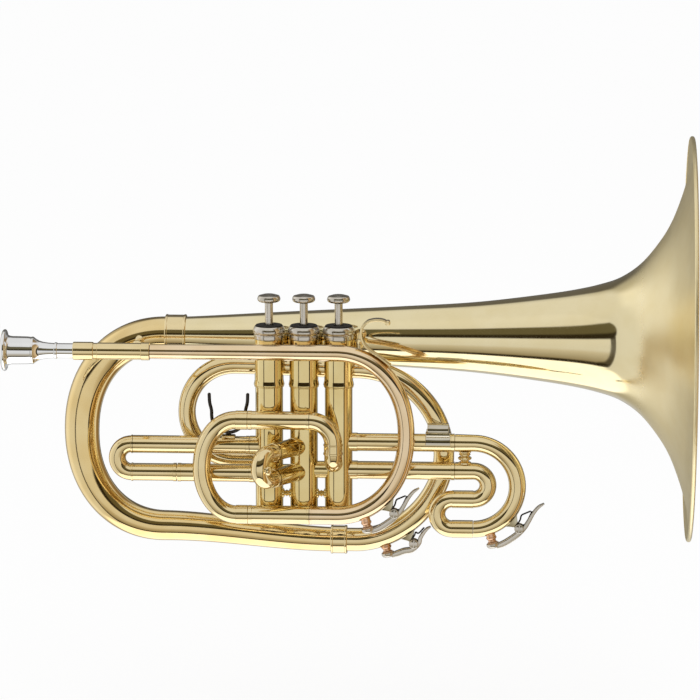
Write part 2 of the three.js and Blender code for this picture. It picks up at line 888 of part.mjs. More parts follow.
function firstSlideCrook() {
  const bend = slidePitch / 2;
  const route = new Route(at(firstSlideCrookAt, 0, firstSlideUpperLevel), back(X), legRadius, slideLegBore);
  route.straight(tubeWall).collar(crookRadius);
  route.quarter(back(Z), bend, bend, smallBendSteps);
  route.quarter(X, bend, bend, smallBendSteps);
  route.collar(legRadius).straight(firstSlideLowerSeam - firstSlideCrookAt + tubeWall);
  route.collar(slideLegRadius).straight(firstSlideSeam - firstSlideLowerSeam - firstSlideShortfall);
  return route.tube(smallTubeSides);
}

// Thumb saddle: a bent wire with two arms on a small pad
function thumbSaddle() {
  const foot = firstSlideUpperLevel + legRadius + seatGap + saddlePadThickness;
  const centre = foot + saddleWire + saddleRadius;
  const start = at(saddleAt - saddleRadius - saddleFlare, 0, centre + saddleArm);
  const route = new Route(start, back(Z), saddleWire, saddleWire);
  route.drift(saddleArm, at(saddleFlare, 0, 0), smallBendSteps);
  route.quarter(X, saddleRadius, saddleRadius, smallBendSteps);
  route.quarter(Z, saddleRadius, saddleRadius, smallBendSteps);
  route.drift(saddleArm, at(saddleFlare, 0, 0), smallBendSteps);
  const pad = new THREE.BoxGeometry(saddlePadLength, 2 * saddleRadius / 3, 2 * saddlePadThickness);
  pad.translate(saddleAt, 0, foot - seatGap);
  const tube = rod(
    legRadius + seatGap, -saddlePadLength, saddlePadLength, tubeSides, X,
    at(saddleAt, 0, firstSlideUpperLevel));
  return cut(join(route.solid(rodSides), pad), tube);
}

place('first_slide_inner_tube', firstSlideInner(), brass);
place('first_slide_outer_tube', firstSlideOuter(), brass);
place('first_slide_sleeve', firstSlideSleeve(), brass);
place('first_slide_crook', firstSlideCrook(), brass);
place('thumb_saddle', thumbSaddle(), darkSteel);

// Second slide: two outer tubes on the front of the second casing and a small crook
function secondSlideOuter(level) {
  const route = new Route(at(0, 0, level), secondSlideHeading, knuckleRadius, legBore);
  route.straight(casingRadius + seatGap + knuckleLength).collar(legRadius);
  route.straight(secondSlideOuterLength);
  return cut(route.tube(smallTubeSides), casingPost(2));
}

function secondSlideCrook() {
  const bend = secondSlidePitch / 2;
  const seam = casingRadius + 2 * seatGap + knuckleLength + secondSlideOuterLength;
  const tip = at(0, 0, secondSlideUpperLevel);
  tip.addScaledVector(secondSlideHeading, seam - secondSlideLegLength);
  const route = new Route(tip, secondSlideHeading, slideLegRadius, slideLegBore);
  route.straight(secondSlideLegLength).collar(legRadius).straight(secondSlideSleeveLength);
  route.collar(crookRadius);
  route.quarter(back(Z), bend, bend, smallBendSteps);
  route.quarter(back(secondSlideHeading), bend, bend, smallBendSteps);
  route.collar(legRadius).straight(secondSlideSleeveLength);
  route.collar(slideLegRadius).straight(secondSlideLegLength);
  const flank = new THREE.Vector3().crossVectors(Z, secondSlideHeading).normalize();
  const knobFoot = at(0, 0, secondSlideUpperLevel - bend);
  knobFoot.addScaledVector(secondSlideHeading, seam + secondSlideSleeveLength + bend);
  const knob = turned([
    [0, 0],
    [0, pullKnobRadius / 2],
    [crookRadius, pullKnobRadius / 2],
    [crookRadius + pullKnobReach / 3, pullKnobRadius],
    [crookRadius + pullKnobReach, pullKnobRadius],
    [crookRadius + pullKnobReach, 0],
  ], rodSides, flank, knobFoot);
  return join(route.tube(smallTubeSides), knob);
}

place('second_slide_outer_upper', secondSlideOuter(secondSlideUpperLevel), brass);
place('second_slide_outer_lower', secondSlideOuter(secondSlideUpperLevel - secondSlidePitch), brass);
place('second_slide_crook', secondSlideCrook(), brass);

// Third slide: two outer tubes, an outer bow and an S bend that folds back between them
const thirdSlideLowerLevel = thirdSlideUpperLevel - slidePitch;
const thirdSlideBowLevel = thirdSlideUpperLevel - 2 * thirdSlideOuterBend;

function thirdSlideOuter(level) {
  const route = new Route(at(valveAt(3), 0, level), X, knuckleRadius, legBore);
  route.straight(casingRadius + seatGap + knuckleLength).collar(legRadius);
  route.straight(thirdSlideSeam - valveAt(3) - casingRadius - 2 * seatGap - knuckleLength);
  return cut(route.tube(smallTubeSides), casingPost(3));
}

function thirdSlideBowRoute(grow) {
  const bend = thirdSlideOuterBend;
  const start = at(thirdSlideSeam - thirdSlideLegLength, 0, thirdSlideUpperLevel);
  const route = new Route(start, X, slideLegRadius + grow, slideLegBore);
  route.straight(thirdSlideLegLength).collar(legRadius + grow);
  route.straight(thirdSlideBowAt - thirdSlideSeam, bowTubeRadius + grow);
  route.quarter(back(Z), bend, bend, bendSteps);
  route.quarter(back(X), bend, bend, bendSteps);
  return route;
}

const thirdSlideBow = () => withNipple(thirdSlideBowRoute(0), keyCups[3], smallTubeSides);

function thirdSlideSBend() {
  const inner = thirdSlideInnerBend;
  const legs = thirdSlideBowLevel + thirdSlideLowerLevel - 2 * inner;
  const outer = (legs - 2 * thirdSlideBowLevel) / 2;
  const start = at(thirdSlideSeam - thirdSlideLegLength, 0, thirdSlideLowerLevel);
  const route = new Route(start, X, slideLegRadius, slideLegBore);
  route.straight(thirdSlideLegLength).collar(legRadius);
  route.straight(thirdSlideBowAt - thirdSlideSeam, bowTubeRadius);
  route.quarter(back(Z), inner, inner, smallBendSteps);
  route.quarter(back(X), inner, inner, smallBendSteps);
  route.straight(thirdSlideBowAt - thirdSlideTurnAt);
  route.quarter(back(Z), outer, outer, smallBendSteps);
  route.quarter(X, outer, outer, smallBendSteps);
  route.straight(thirdSlideBowAt - thirdSlideTurnAt - seatGap);
  return join(route.tube(smallTubeSides), slidePost());
}

// Turned post between the two legs of the third slide
function slidePost() {
  const top = slidePitch / 2;
  const foot = top - legRadius - seatGap;
  const tube = (level, radius) => rod(
    radius, -postFootRadius * 2, postFootRadius * 2, smallTubeSides, X, at(postAt, 0, level));
  const post = turned([
    [-top, 0],
    [-top, postFootRadius],
    [-foot + seatGap, postFootRadius],
    [-postBallRadius / 2, postRadius],
    [0, postBallRadius],
    [postBallRadius / 2, postRadius],
    [foot - seatGap, postFootRadius],
    [top, postFootRadius],
    [top, 0],
  ], rodSides, Z, at(postAt, 0, thirdSlideLowerLevel + top));
  return cut(
    post, tube(thirdSlideUpperLevel, legRadius + seatGap), tube(thirdSlideLowerLevel, slideLegRadius));
}

place('third_slide_outer_upper', thirdSlideOuter(thirdSlideUpperLevel), brass);
place('third_slide_outer_lower', thirdSlideOuter(thirdSlideLowerLevel), brass);
place('third_slide_bow', thirdSlideBow(), brass);
place('third_slide_s_bend', thirdSlideSBend(), brass);

// Branch tube: out of the back of the first valve, up, over behind the casings and down again
function branchRoute(grow) {
  const startRadius = branchStartRadius + grow;
  const bore = startRadius - tubeWall;
  const wall = tubeWall;
  const route = new Route(at(valveAt(1), 0, branchPortLevel), Y, startRadius, bore);
  const top = branchPortLevel + 2 * branchBend;
  const halfHeight = (top - branchTopDrop - branchFoot) / 2;
  route.straight(branchLayer - branchKnuckleBend);
  route.quarter(back(X), branchKnuckleBend, branchKnuckleBend, smallBendSteps);
  route.straight(valveAt(1) - branchKnuckleBend - branchArchAt);
  route.quarter(Z, branchBend, branchBend, bendSteps);
  const topRadius = branchTopRadius + grow;
  const shoulderRadius = branchShoulderRadius + grow;
  const endRadius = branchEndRadius + grow;
  route.quarter(X, branchBend, branchBend, bendSteps, topRadius, topRadius - wall);
  route.drift(
    branchShoulderAt - branchArchAt, at(0, 0, -branchTopDrop), smallBendSteps, topRadius, topRadius - wall);
  route.quarter(back(Z), branchReach, halfHeight, bendSteps, shoulderRadius, shoulderRadius - wall);
  route.quarter(
    back(X), halfHeight, branchReach, bendSteps, endRadius, endRadius - wall, branchLowerFullness);
  route.straight(branchShoulderAt - branchFootAt - seatGap);
  return route;
}

const branchTube = () => cut(withNipple(branchRoute(0), keyCups[2], tubeSides), casingPost(1));

function branchFerrule() {
  const bore = Math.max(bowStartRadius, branchEndRadius) + ferruleClearance;
  const origin = at(branchFootAt, branchLayer, branchFoot);
  const half = ferruleLength / 2;
  return pipe(bore + ferruleWall, bore, -half, half, tubeSides, X, origin);
}

// Large bow: along the bottom, round the left side and up to the bell
function mainBowRoute(grow) {
  const wall = bellWall + grow;
  const half = (bellLevel - bowLevel) / 2;
  const start = at(branchFootAt, branchLayer, branchFoot);
  const midRadius = bowMidRadius + grow;
  const sideRadius = bowSideRadius + grow;
  const endRadius = bowEndRadius + grow;
  const route = new Route(start, back(X), bowStartRadius + grow, bowStartRadius - bellWall);
  const shift = at(0, bowLowerOffset - branchLayer, bowLevel - branchFoot);
  route.drift(branchFootAt - bowBendStart, shift, bendSteps, midRadius, midRadius - wall);
  const lean = at(0, (bellOffset - bowLowerOffset) / 2, half).normalize();
  const rise = Math.hypot((bellOffset - bowLowerOffset) / 2, half);
  route.quarter(lean, bowReach, rise, bendSteps + 1, sideRadius, sideRadius - wall, bowFullness);
  route.quarter(X, rise, bowReach, bendSteps + 1, endRadius, endRadius - wall, bowFullness);
  return route.straight(bowTailLength);
}

const mainBow = () => mainBowRoute(0).tube(tubeSides);

// Bell outline: distances from the rim as shares of the length, radii as shares of the mouth
const bellOutlineShares = [
  [1, 0.089],
  [0.98, 0.0895],
  [0.77, 0.121],
  [0.57, 0.149],
  [0.42, 0.174],
  [0.3, 0.211],
  [0.229, 0.239],
  [0.18, 0.267],
  [0.14, 0.302],
  [0.1, 0.372],
  [0.061, 0.493],
  [0.041, 0.582],
  [0.022, 0.708],
  [0.012, 0.796],
  [0.004, 0.9],
];

function bellOutline() {
  const length = bellRim - bellTailAt;
  return bellOutlineShares.map(([distanceShare, radiusShare]) =>
    new THREE.Vector2(bellRim - length * distanceShare, bellRadius * radiusShare));
}

function bell() {
  const outside = bellOutline();
  const rimRoot = new THREE.Vector2(bellRim - bellBead, bellRadius - bellBead);
  const inside = outside.map((point, index) => {
    const before = outside[Math.max(index - 1, 0)];
    const after = outside[index + 1] ?? rimRoot;
    const slope = after.clone().sub(before).normalize();
    return new THREE.Vector2(point.x + slope.y * bellWall, point.y - slope.x * bellWall);
  });
  inside[0].x = outside[0].x;
  const profile = [
    ...outside.map(point => [point.x, point.y]),
    [bellRim - 2 * bellBead, bellRadius - bellBead],
    [bellRim - bellBead, bellRadius],
    [bellRim, bellRadius - bellBead / 2],
    [bellRim, bellRadius - 2 * bellBead],
    ...inside.reverse().map(point => [point.x, point.y]),
    [outside[0].x, outside[0].y],
  ];
  return turned(profile, bellSides, X, at(0, bellOffset, bellLevel));
}

function bellFerrule() {
  const bore = bowEndRadius + ferruleClearance;
  const origin = at(bellTailAt, bellOffset, bellLevel);
  const half = bellFerruleLength / 2;
  return pipe(bore + ferruleWall, bore, -half, half, tubeSides, X, origin);
}

place('branch_tube', branchTube(), brass);
place('branch_ferrule', branchFerrule(), brass);
place('main_bow', mainBow(), brass);
place('bell_ferrule', bellFerrule(), brass);
place('bell', bell(), brass);

// Room around a tube: its own route, grown by a gap, to trim what is soldered onto it
const aroundLeadpipe = grow => leadpipeRoute(grow).solid(tubeSides);
const aroundBranch = grow => branchRoute(grow).solid(tubeSides);
const aroundBow = grow => mainBowRoute(grow).solid(tubeSides);
const aroundThirdBow = grow => thirdSlideBowRoute(grow).solid(smallTubeSides);

function aroundBell(grow) {
  const profile = bellOutline().map(point => [point.x, point.y + grow]);
  return turned([[profile[0][0], 0], ...profile, [bellRim, 0]], bellSides, X, at(0, bellOffset, bellLevel));
}

// Turned strut between two tubes, with a ball between its ends
function strut(from, to, ballShare) {
  const axis = to.clone().sub(from);
  const length = axis.length();
  const ballAt = length * ballShare;
  return turned([
    [0, 0],
    [0, strutRadius],
    [ballAt - strutBallRadius, strutRadius],
    [ballAt, strutBallRadius],
    [ballAt + strutBallRadius, strutRadius],
    [length, strutRadius],
    [length, 0],
  ], rodSides, axis.normalize(), from);
}

function bellBrace() {
  const from = at(bellBraceAt, frontLayer, bellBraceFrontLevel);
  const to = at(bellBraceAt, bellOffset, bellBraceBackLevel);
  return cut(strut(from, to, bellBraceBallShare), aroundLeadpipe(seatGap), aroundBell(seatGap));
}

function receiverBrace() {
  const from = at(receiverBraceAt, frontLayer, leadpipeLevel);
  const to = at(receiverBraceAt, bellOffset, leadpipeLevel);
  const reach = strutBallRadius * 2;
  const tube = rod(
    receiverRingRadius + seatGap, receiverBraceAt - reach, receiverBraceAt + reach, smallTubeSides, X,
    at(0, frontLayer, leadpipeLevel));
  return cut(strut(from, to, midShare), tube, aroundBow(seatGap));
}

// Turned brace between two casings
function valveBrace(number) {
  const half = valvePitch / 2;
  const slot = half - casingRadius;
  const brace = turned([
    [-half, 0],
    [-half, valveBraceFlange],
    [-slot / 2, valveBraceFlange],
    [-slot / 4, valveBraceRadius],
    [slot / 4, valveBraceRadius],
    [slot / 2, valveBraceFlange],
    [half, valveBraceFlange],
    [half, 0],
  ], rodSides, X, at(valveAt(number) + half, 0, valveBraceLevel));
  return cut(brace, casingPost(number), casingPost(number + 1));
}

place('bell_brace', bellBrace(), brass);
place('receiver_brace', receiverBrace(), brass);
place('valve_brace_1_2', valveBrace(1), brass);
place('valve_brace_2_3', valveBrace(2), brass);

// Flat strip bent along a curve in the plane of the tubes
function strip(points, count, thickness, width, layer) {
  const curve = new THREE.CatmullRomCurve3(points.map(([x, z]) => at(x, z, 0)), false, 'centripetal');
  const left = [];
  const right = [];
  for (let step = 0; step <= count; step += 1) {
    const point = curve.getPoint(step / count);
    const along = curve.getTangent(step / count);
    const side = new THREE.Vector2(-along.y, along.x).multiplyScalar(thickness / 2);
    left.push(new THREE.Vector2(point.x + side.x, point.y + side.y));
    right.unshift(new THREE.Vector2(point.x - side.x, point.y - side.y));
  }
  const shape = new THREE.Shape([...left, ...right]);
  const geometry = new THREE.ExtrudeGeometry(shape, { depth: width, bevelEnabled: false, steps: 1 });
  geometry.rotateX(Math.PI / 2);
  geometry.translate(0, layer + width / 2, 0);
  return geometry;
}

// Finger hook, soldered on the outside of the leadpipe's bend
function fingerHook() {
  const outline = hookShares.map(([alongShare, upShare]) =>
    [hookFootAt + hookReach * alongShare, hookFootLevel + hookHeight * upShare]);
  const tip = outline.at(-1);
  const end = at(tip[0], frontLayer, tip[1]);
  const bead = rod(hookThickness, -hookWidth / 2, hookWidth / 2, rodSides, Y, end);
  const hook = strip(outline, stripSteps, hookThickness, hookWidth, frontLayer);
  return cut(join(hook, bead), aroundLeadpipe(seatGap));
}

// Nickel bracket that ties the third slide's upper tube to the branch tube
function slideBracket() {
  const centre = at(bracketAt, 0, thirdSlideUpperLevel);
  const half = bracketLength / 2;
  const shell = rod(legRadius + seatGap + bracketWall, -half, half, tubeSides, X, centre);
  const hump = rod(
    bracketHumpRadius, -half, half, tubeSides, X,
    at(bracketAt, bracketHumpRadius / 3, thirdSlideUpperLevel + bracketHeight));
  const reach = branchLayer;
  const web = new THREE.BoxGeometry(bracketLength - 2 * bracketWall, reach, bracketHumpRadius);
  web.translate(bracketAt, reach / 2, thirdSlideUpperLevel + bracketHeight);
  const below = new THREE.BoxGeometry(2 * bracketLength, 4 * legRadius, 2 * legRadius);
  below.translate(bracketAt, 0, thirdSlideUpperLevel - legRadius);
  const tube = rod(legRadius + seatGap, -bracketLength, bracketLength, smallTubeSides, X, centre);
  return cut(join(shell, hump, web), below, tube, aroundBranch(seatGap));
}

place('finger_hook', fingerHook(), brass);
place('slide_bracket', slideBracket(), nickel);

// Water keys: a hinged lever whose cup closes the nipple, on a bracket soldered to the tube
const keyHinge = (cup, rise) => cup.clone().add(at(leverArmAcross, 0, rise));

function keyLever({ cup, rise, touchShare }) {
  const hinge = keyHinge(cup, rise);
  const under = hingeRadius + hingeClearance + seatGap + leverThickness / 2;
  const points = [
    [cup.x + cupPadRadius / 2, cup.z - cupPadHeight / 4],
    [cup.x + leverArmAcross / 2, cup.z + rise / 2 - under / 2],
    [hinge.x + under / 2, hinge.z - under],
    ...leverTouchShares.map(([acrossShare, upShare]) => [
      hinge.x + leverTouchAcross * acrossShare * touchShare,
      hinge.z + leverTouchRise * upShare * touchShare,
    ]),
  ];
  const pad = rod(cupPadRadius, -cupPadHeight / 2, cupPadHeight / 2, rodSides, Z, cup);
  const inner = hingeRadius;
  const ears = [-1, 1].map(side => {
    const near = side * (inner + seatGap);
    const far = near + side * earThickness;
    return rod(earRadius, Math.min(near, far), Math.max(near, far), rodSides, Y, hinge);
  });
  const barrelRoom = rod(
    hingeRadius + hingeClearance, -inner - seatGap, inner + seatGap, rodSides, Y, hinge);
  const pinRoom = rod(hingePin + hingeClearance, -leverWidth, leverWidth, rodSides, Y, hinge);
  const bar = strip(points, keyStripSteps, leverThickness, leverWidth, cup.y);
  return cut(join(bar, pad, ...ears), barrelRoom, pinRoom);
}

// Hinge barrel with its pin, on a three-cornered plate that stands on the tube
function keyBracket({ cup, rise, footAngle, around }) {
  const hinge = keyHinge(cup, rise);
  const barrel = rod(hingeRadius, -hingeRadius, hingeRadius, rodSides, Y, hinge);
  const pinEnd = hingeRadius + seatGap + earThickness + seatGap;
  const pin = rod(hingePin, -pinEnd, pinEnd, rodSides, Y, hinge);
  const corners = [footAngle - bracketSpread, footAngle + bracketSpread].map(angle =>
    new THREE.Vector2(hinge.x - bracketReach * Math.sin(angle), hinge.z + bracketReach * Math.cos(angle)));
  const outline = new THREE.Shape([new THREE.Vector2(hinge.x, hinge.z), ...corners]);
  const plate = new THREE.ExtrudeGeometry(outline, { depth: bracketPlate, bevelEnabled: false, steps: 1 });
  plate.rotateX(Math.PI / 2);
  plate.translate(0, cup.y + bracketPlate / 2, 0);
  const body = solidOf(join(barrel, pin, plate)).subtract(solidOf(around(seatGap)));
  const pieces = body.decompose();
  pieces.sort((one, other) => other.volume() - one.volume());
  return geometryOf(pieces[0]);
}

const waterKeys = [
  {
    name: 'leadpipe_water_key',
    cup: keyCups[1],
    rise: leverArmRise,
    touchShare: 1,
    footAngle: leadpipeKeyAngle,
    around: aroundLeadpipe,
  },
  {
    name: 'branch_water_key',
    cup: keyCups[2],
    rise: branchArmRise,
    touchShare: branchTouchShare,
    footAngle: branchKeyAngle,
    around: aroundBranch,
  },
  {
    name: 'third_slide_water_key',
    cup: keyCups[3],
    rise: leverArmRise,
    touchShare: 1,
    footAngle: bowKeyAngle,
    around: aroundThirdBow,
  },
];
for (const key of waterKeys) {
  place(`${key.name}_bracket`, keyBracket(key), nickel);
  place(`${key.name}_lever`, keyLever(key), nickel);
}

export default part;
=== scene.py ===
# Marching mellophone: the finished look of every visible piece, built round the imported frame.
# Sizes are millimetres in the frame's own axes, and turn into metres when a mesh is made.
from math import acos, cos, pi, radians, sin

import bmesh
import bpy
from mathutils import Matrix, Vector


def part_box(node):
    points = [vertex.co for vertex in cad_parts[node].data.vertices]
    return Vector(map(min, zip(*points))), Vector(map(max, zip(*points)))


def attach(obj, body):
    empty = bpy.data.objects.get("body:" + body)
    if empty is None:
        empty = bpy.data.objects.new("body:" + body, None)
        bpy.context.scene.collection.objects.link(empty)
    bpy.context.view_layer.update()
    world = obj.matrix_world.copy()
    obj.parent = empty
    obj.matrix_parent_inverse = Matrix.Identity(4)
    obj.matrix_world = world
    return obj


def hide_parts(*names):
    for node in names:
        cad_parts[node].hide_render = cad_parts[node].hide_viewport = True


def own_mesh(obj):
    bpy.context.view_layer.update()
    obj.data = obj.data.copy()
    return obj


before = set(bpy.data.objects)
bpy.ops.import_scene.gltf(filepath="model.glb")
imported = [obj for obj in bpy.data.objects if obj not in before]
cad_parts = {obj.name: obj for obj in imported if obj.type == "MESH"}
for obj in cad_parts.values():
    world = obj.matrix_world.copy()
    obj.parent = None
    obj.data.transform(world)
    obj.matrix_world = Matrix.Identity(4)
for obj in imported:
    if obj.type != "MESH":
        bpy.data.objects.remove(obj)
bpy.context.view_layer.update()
print("frame loaded:", len(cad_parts), "nodes")

mm = 0.001
axisX, axisY, axisZ = Vector((1, 0, 0)), Vector((0, 1, 0)), Vector((0, 0, 1))

# Places that several pieces share
layout = {
    "valvePitch": 23.2, "frontLayer": -15.65, "branchLayer": 16.3, "bellOffset": 34.0, "bellLevel": 54.5,
    "leadpipeLevel": 51.9, "lowerRunLevel": -58.1, "tuningUpperLevel": 6.1, "tuningJoint": 4.4,
    "legRadius": 6.0, "crookRadius": 5.7, "slideLegRadius": 5.1, "gap": 0.3,
}
(valvePitch, front, behind, bellOffset, bellLevel, leadLevel, lowRun, tuningLevel, tuningJoint,
 legRadius, crookRadius, slideLeg, gap) = layout.values()

# Corners: turns in degrees, lengths in millimetres, and the share of a side that one may take
rounding = {"slight": 22, "straight": 3, "leastEdge": 0.05, "longSide": 2.5, "beside": 0.25, "sideShare": 0.4}


# Mesh helpers

def addObject(name, mesh):
    obj = bpy.data.objects.new(name, mesh)
    bpy.context.scene.collection.objects.link(obj)
    return obj


def shadeSmooth(name, mesh, sharpDegrees=40):
    mesh.polygons.foreach_set("use_smooth", [True] * len(mesh.polygons))
    mesh.set_sharp_from_angle(angle=radians(sharpDegrees))
    return addObject(name, mesh)


def makeObject(name, points, faces, sharpDegrees=40):
    mesh = bpy.data.meshes.new(name)
    mesh.from_pydata([tuple(value * mm for value in p) for p in points], [], faces)
    shape = bmesh.new()
    shape.from_mesh(mesh)
    bmesh.ops.remove_doubles(shape, verts=shape.verts, dist=0.002 * mm)
    bmesh.ops.recalc_face_normals(shape, faces=shape.faces)
    shape.to_mesh(mesh)
    shape.free()
    return shadeSmooth(name, mesh, sharpDegrees)


def joinMeshes(name, pieces):
    # several closed shells as one piece
    shape = bmesh.new()
    for piece in pieces:
        shape.from_mesh(piece.data)
        bpy.data.objects.remove(piece)
    mesh = bpy.data.meshes.new(name)
    shape.to_mesh(mesh)
    shape.free()
    return shadeSmooth(name, mesh)


def shifted(base, profile):
    return [(base + along, radius) for along, radius in profile]


def circle(centre, across, up, radius, sides):
    turns = [2 * pi * side / sides for side in range(sides)]
    return [centre + (across * cos(a) + up * sin(a)) * radius for a in turns]


def ringFaces(rings, sides, closed=False):
    # faces between neighbouring rings of points, and from the last ring to the first where closed
    faces = []
    for ring in range(rings if closed else rings - 1):
        here, there = ring * sides, (ring + 1) % rings * sides
        for side in range(sides):
            beside = (side + 1) % sides
            faces.append((here + side, here + beside, there + beside, there + side))
    return faces


def softened(profile, edge, steps=3, closed=False):
    # rounds an outline's corners; a point beside each keeps the long run next to it flat in the mirror
    r = rounding
    count = len(profile)
    made = []
    for index, corner in enumerate(profile):
        here = Vector(corner)
        before, after = Vector(profile[index - 1]) - here, Vector(profile[(index + 1) % count]) - here
        if (not closed and index in (0, count - 1)) or min(before.length, after.length) < 1e-6:
            made.append(tuple(corner))
            continue
        toBefore, toAfter = before.normalized(), after.normalized()
        turn = pi - before.angle(after)
        if turn < radians(r["slight"]):
            firm = edge > r["leastEdge"] and turn > radians(r["straight"])
            if firm and before.length > r["longSide"]:
                made.append(tuple(here + toBefore * r["beside"]))
            made.append(tuple(corner))
            if firm and after.length > r["longSide"]:
                made.append(tuple(here + toAfter * r["beside"]))
            continue
        reach = min(edge, before.length * r["sideShare"], after.length * r["sideShare"])
        start, end = here + toBefore * reach, here + toAfter * reach
        if before.length > 3 * reach:
            made.append(tuple(start + toBefore * reach * r["sideShare"]))
        for step in range(steps + 1):
            t = step / steps
            made.append(tuple(start * (1 - t) ** 2 + here * (2 * t * (1 - t)) + end * t ** 2))
        if after.length > 3 * reach:
            made.append(tuple(end + toAfter * reach * r["sideShare"]))
    return made


def smoothLine(points, perSpan):
    # a curve through the points, evenly stepped in each span
    pts = [Vector(p) for p in points]
    pts = [pts[0] * 2 - pts[1], *pts, pts[-1] * 2 - pts[-2]]
    made = []
    for a, b, c, d in zip(pts, pts[1:], pts[2:], pts[3:]):
        t0 = 0.0
        t1 = t0 + max((b - a).length, 1e-6) ** 0.5
        t2 = t1 + max((c - b).length, 1e-6) ** 0.5
        t3 = t2 + max((d - c).length, 1e-6) ** 0.5
        for step in range(perSpan):
            t = t1 + (t2 - t1) * step / perSpan
            ab = a.lerp(b, (t - t0) / (t1 - t0))
            bc = b.lerp(c, (t - t1) / (t2 - t1))
            cd = c.lerp(d, (t - t2) / (t3 - t2))
            abc = ab.lerp(bc, (t - t0) / (t2 - t0))
            bcd = bc.lerp(cd, (t - t1) / (t3 - t1))
            made.append(abc.lerp(bcd, (t - t1) / (t2 - t1)))
    return [*made, pts[-2].copy()]


def turned(name, profile, axis, origin, edge, segments):
    # revolved piece: profile points are (distance along the axis, radius), solid where it starts at radius 0
    axis = Vector(axis).normalized()
    guide = axisZ if abs(axis.z) < 0.9 else axisX
    across = guide.cross(axis).normalized()
    up = axis.cross(across).normalized()
    closed = profile[0][1] > 0
    outline = softened(profile, edge, closed=closed)
    points = []
    for along, radius in outline:
        points.extend(circle(Vector(origin) + axis * along, across, up, max(radius, 0), segments))
    faces = []
    for face in ringFaces(len(outline), segments, closed):
        if max(outline[face[0] // segments][1], outline[face[2] // segments][1]) > 0:
            faces.append(face)
    return makeObject(name, points, faces)


class TubePath:
    # a tube's middle line, walked along: straight runs, quarter bends and easy drifts
    def __init__(self, start, heading, radius):
        self.point, self.heading = Vector(start), Vector(heading).normalized()
        guide = axisY if abs(self.heading.y) < 0.7 else axisX
        self.across = guide.cross(self.heading).normalized()
        self.length, self.radius = 0.0, radius
        self.stations, self.radii = [], [(0.0, radius)]
        self.mark()

    def mark(self):
        self.stations.append((self.length, self.point.copy(), self.heading.copy(), self.across.copy()))

    def goTo(self, point, heading):
        self.length += (point - self.point).length
        self.point, self.heading = point.copy(), heading.normalized()
        self.across = (self.across - self.heading * self.across.dot(self.heading)).normalized()
        self.mark()

    def collar(self, radius):
        # the outside from here on; None keeps it
        self.radius = self.radius if radius is None else radius
        self.radii.append((self.length, self.radius))
        return self

    def straight(self, length, radius=None):
        self.goTo(self.point + self.heading * length, self.heading)
        return self.collar(radius)

    def stretches(self, *pairs):
        # (radius, length) of each stretch
        for radius, length in pairs:
            if radius != self.radius:
                self.collar(radius)
            self.straight(length)
        return self

    def quarter(self, toward, ahead, aside, steps, radius=None, fullness=2.0):
        start, onward = self.point.copy(), self.heading.copy()
        side = Vector(toward).normalized()
        for step in range(1, steps + 1):
            angle = pi / 2 * step / steps
            forward = ahead * sin(angle) ** (2 / fullness)
            sideways = aside * (1 - max(cos(angle), 0) ** (2 / fullness))
            heading = side.copy()
            if step < steps:
                heading = side * (aside * sin(angle) ** (2 - 2 / fullness))
                heading += onward * (ahead * cos(angle) ** (2 - 2 / fullness))
            self.goTo(start + onward * forward + side * sideways, heading)
        return self.collar(radius)

    def halfTurn(self, toward, back, ahead, aside, steps, radii=(None, None), fullness=2.0):
        self.quarter(toward, ahead, aside, steps, radii[0], fullness)
        return self.quarter(back, aside, ahead, steps, radii[1], fullness)

    def drift(self, length, shift, radius, steps):
        start, onward = self.point.copy(), self.heading.copy()
        shift = Vector(shift)
        for step in range(1, steps + 1):
            share = step / steps
            eased = share * share * (3 - 2 * share)
            slope = 6 * share * (1 - share) / length
            self.goTo(start + onward * (length * share) + shift * eased, onward + shift * slope)
        return self.collar(radius)

    def ringAt(self, distance, radius, sides, beyond=0.0):
        _, centre, heading, across = self.stations[-1]
        for before, after in zip(self.stations, self.stations[1:]):
            if distance <= after[0] + 1e-9:
                share = (distance - before[0]) / max(after[0] - before[0], 1e-9)
                heading = before[2].lerp(after[2], share).normalized()
                across = before[3].lerp(after[3], share)
                across = (across - heading * across.dot(heading)).normalized()
                centre = before[1].lerp(after[1], share)
                break
        return circle(centre + heading * beyond, across, heading.cross(across), radius, sides)


def pipe(start, heading, *pairs):
    # a tube's path that starts with straight stretches
    return TubePath(start, heading, pairs[0][0]).stretches(*pairs)


def radiusOn(profile, distance):
    for before, after in zip(profile, profile[1:]):
        if distance <= after[0]:
            share = (distance - before[0]) / max(after[0] - before[0], 1e-9)
            return before[1] + (after[1] - before[1]) * min(max(share, 0), 1)
    return profile[-1][1]


def tube(name, path, wall=0.6, sides=44, tapered=False):
    # skin over the outside, round the far end and back along the bore
    outside = softened(path.radii, 0.22, steps=2)
    least = min(radius for _, radius in path.radii) - wall
    rings = list(outside)
    for distance, *_ in path.stations:
        if min(abs(distance - other) for other, _ in outside) > 0.02:
            rings.append((distance, radiusOn(outside, distance)))
    order = {entry: index for index, entry in enumerate(outside)}
    rings.sort(key=lambda entry: (entry[0], order.get(entry, 0)))
    for distance, *_ in reversed(path.stations):
        rings.append((distance, radiusOn(path.radii, distance) - wall if tapered else least))
    points = []
    for distance, radius in rings:
        points.extend(path.ringAt(distance, radius, sides))
    return makeObject(name, points, ringFaces(len(rings), sides, True))


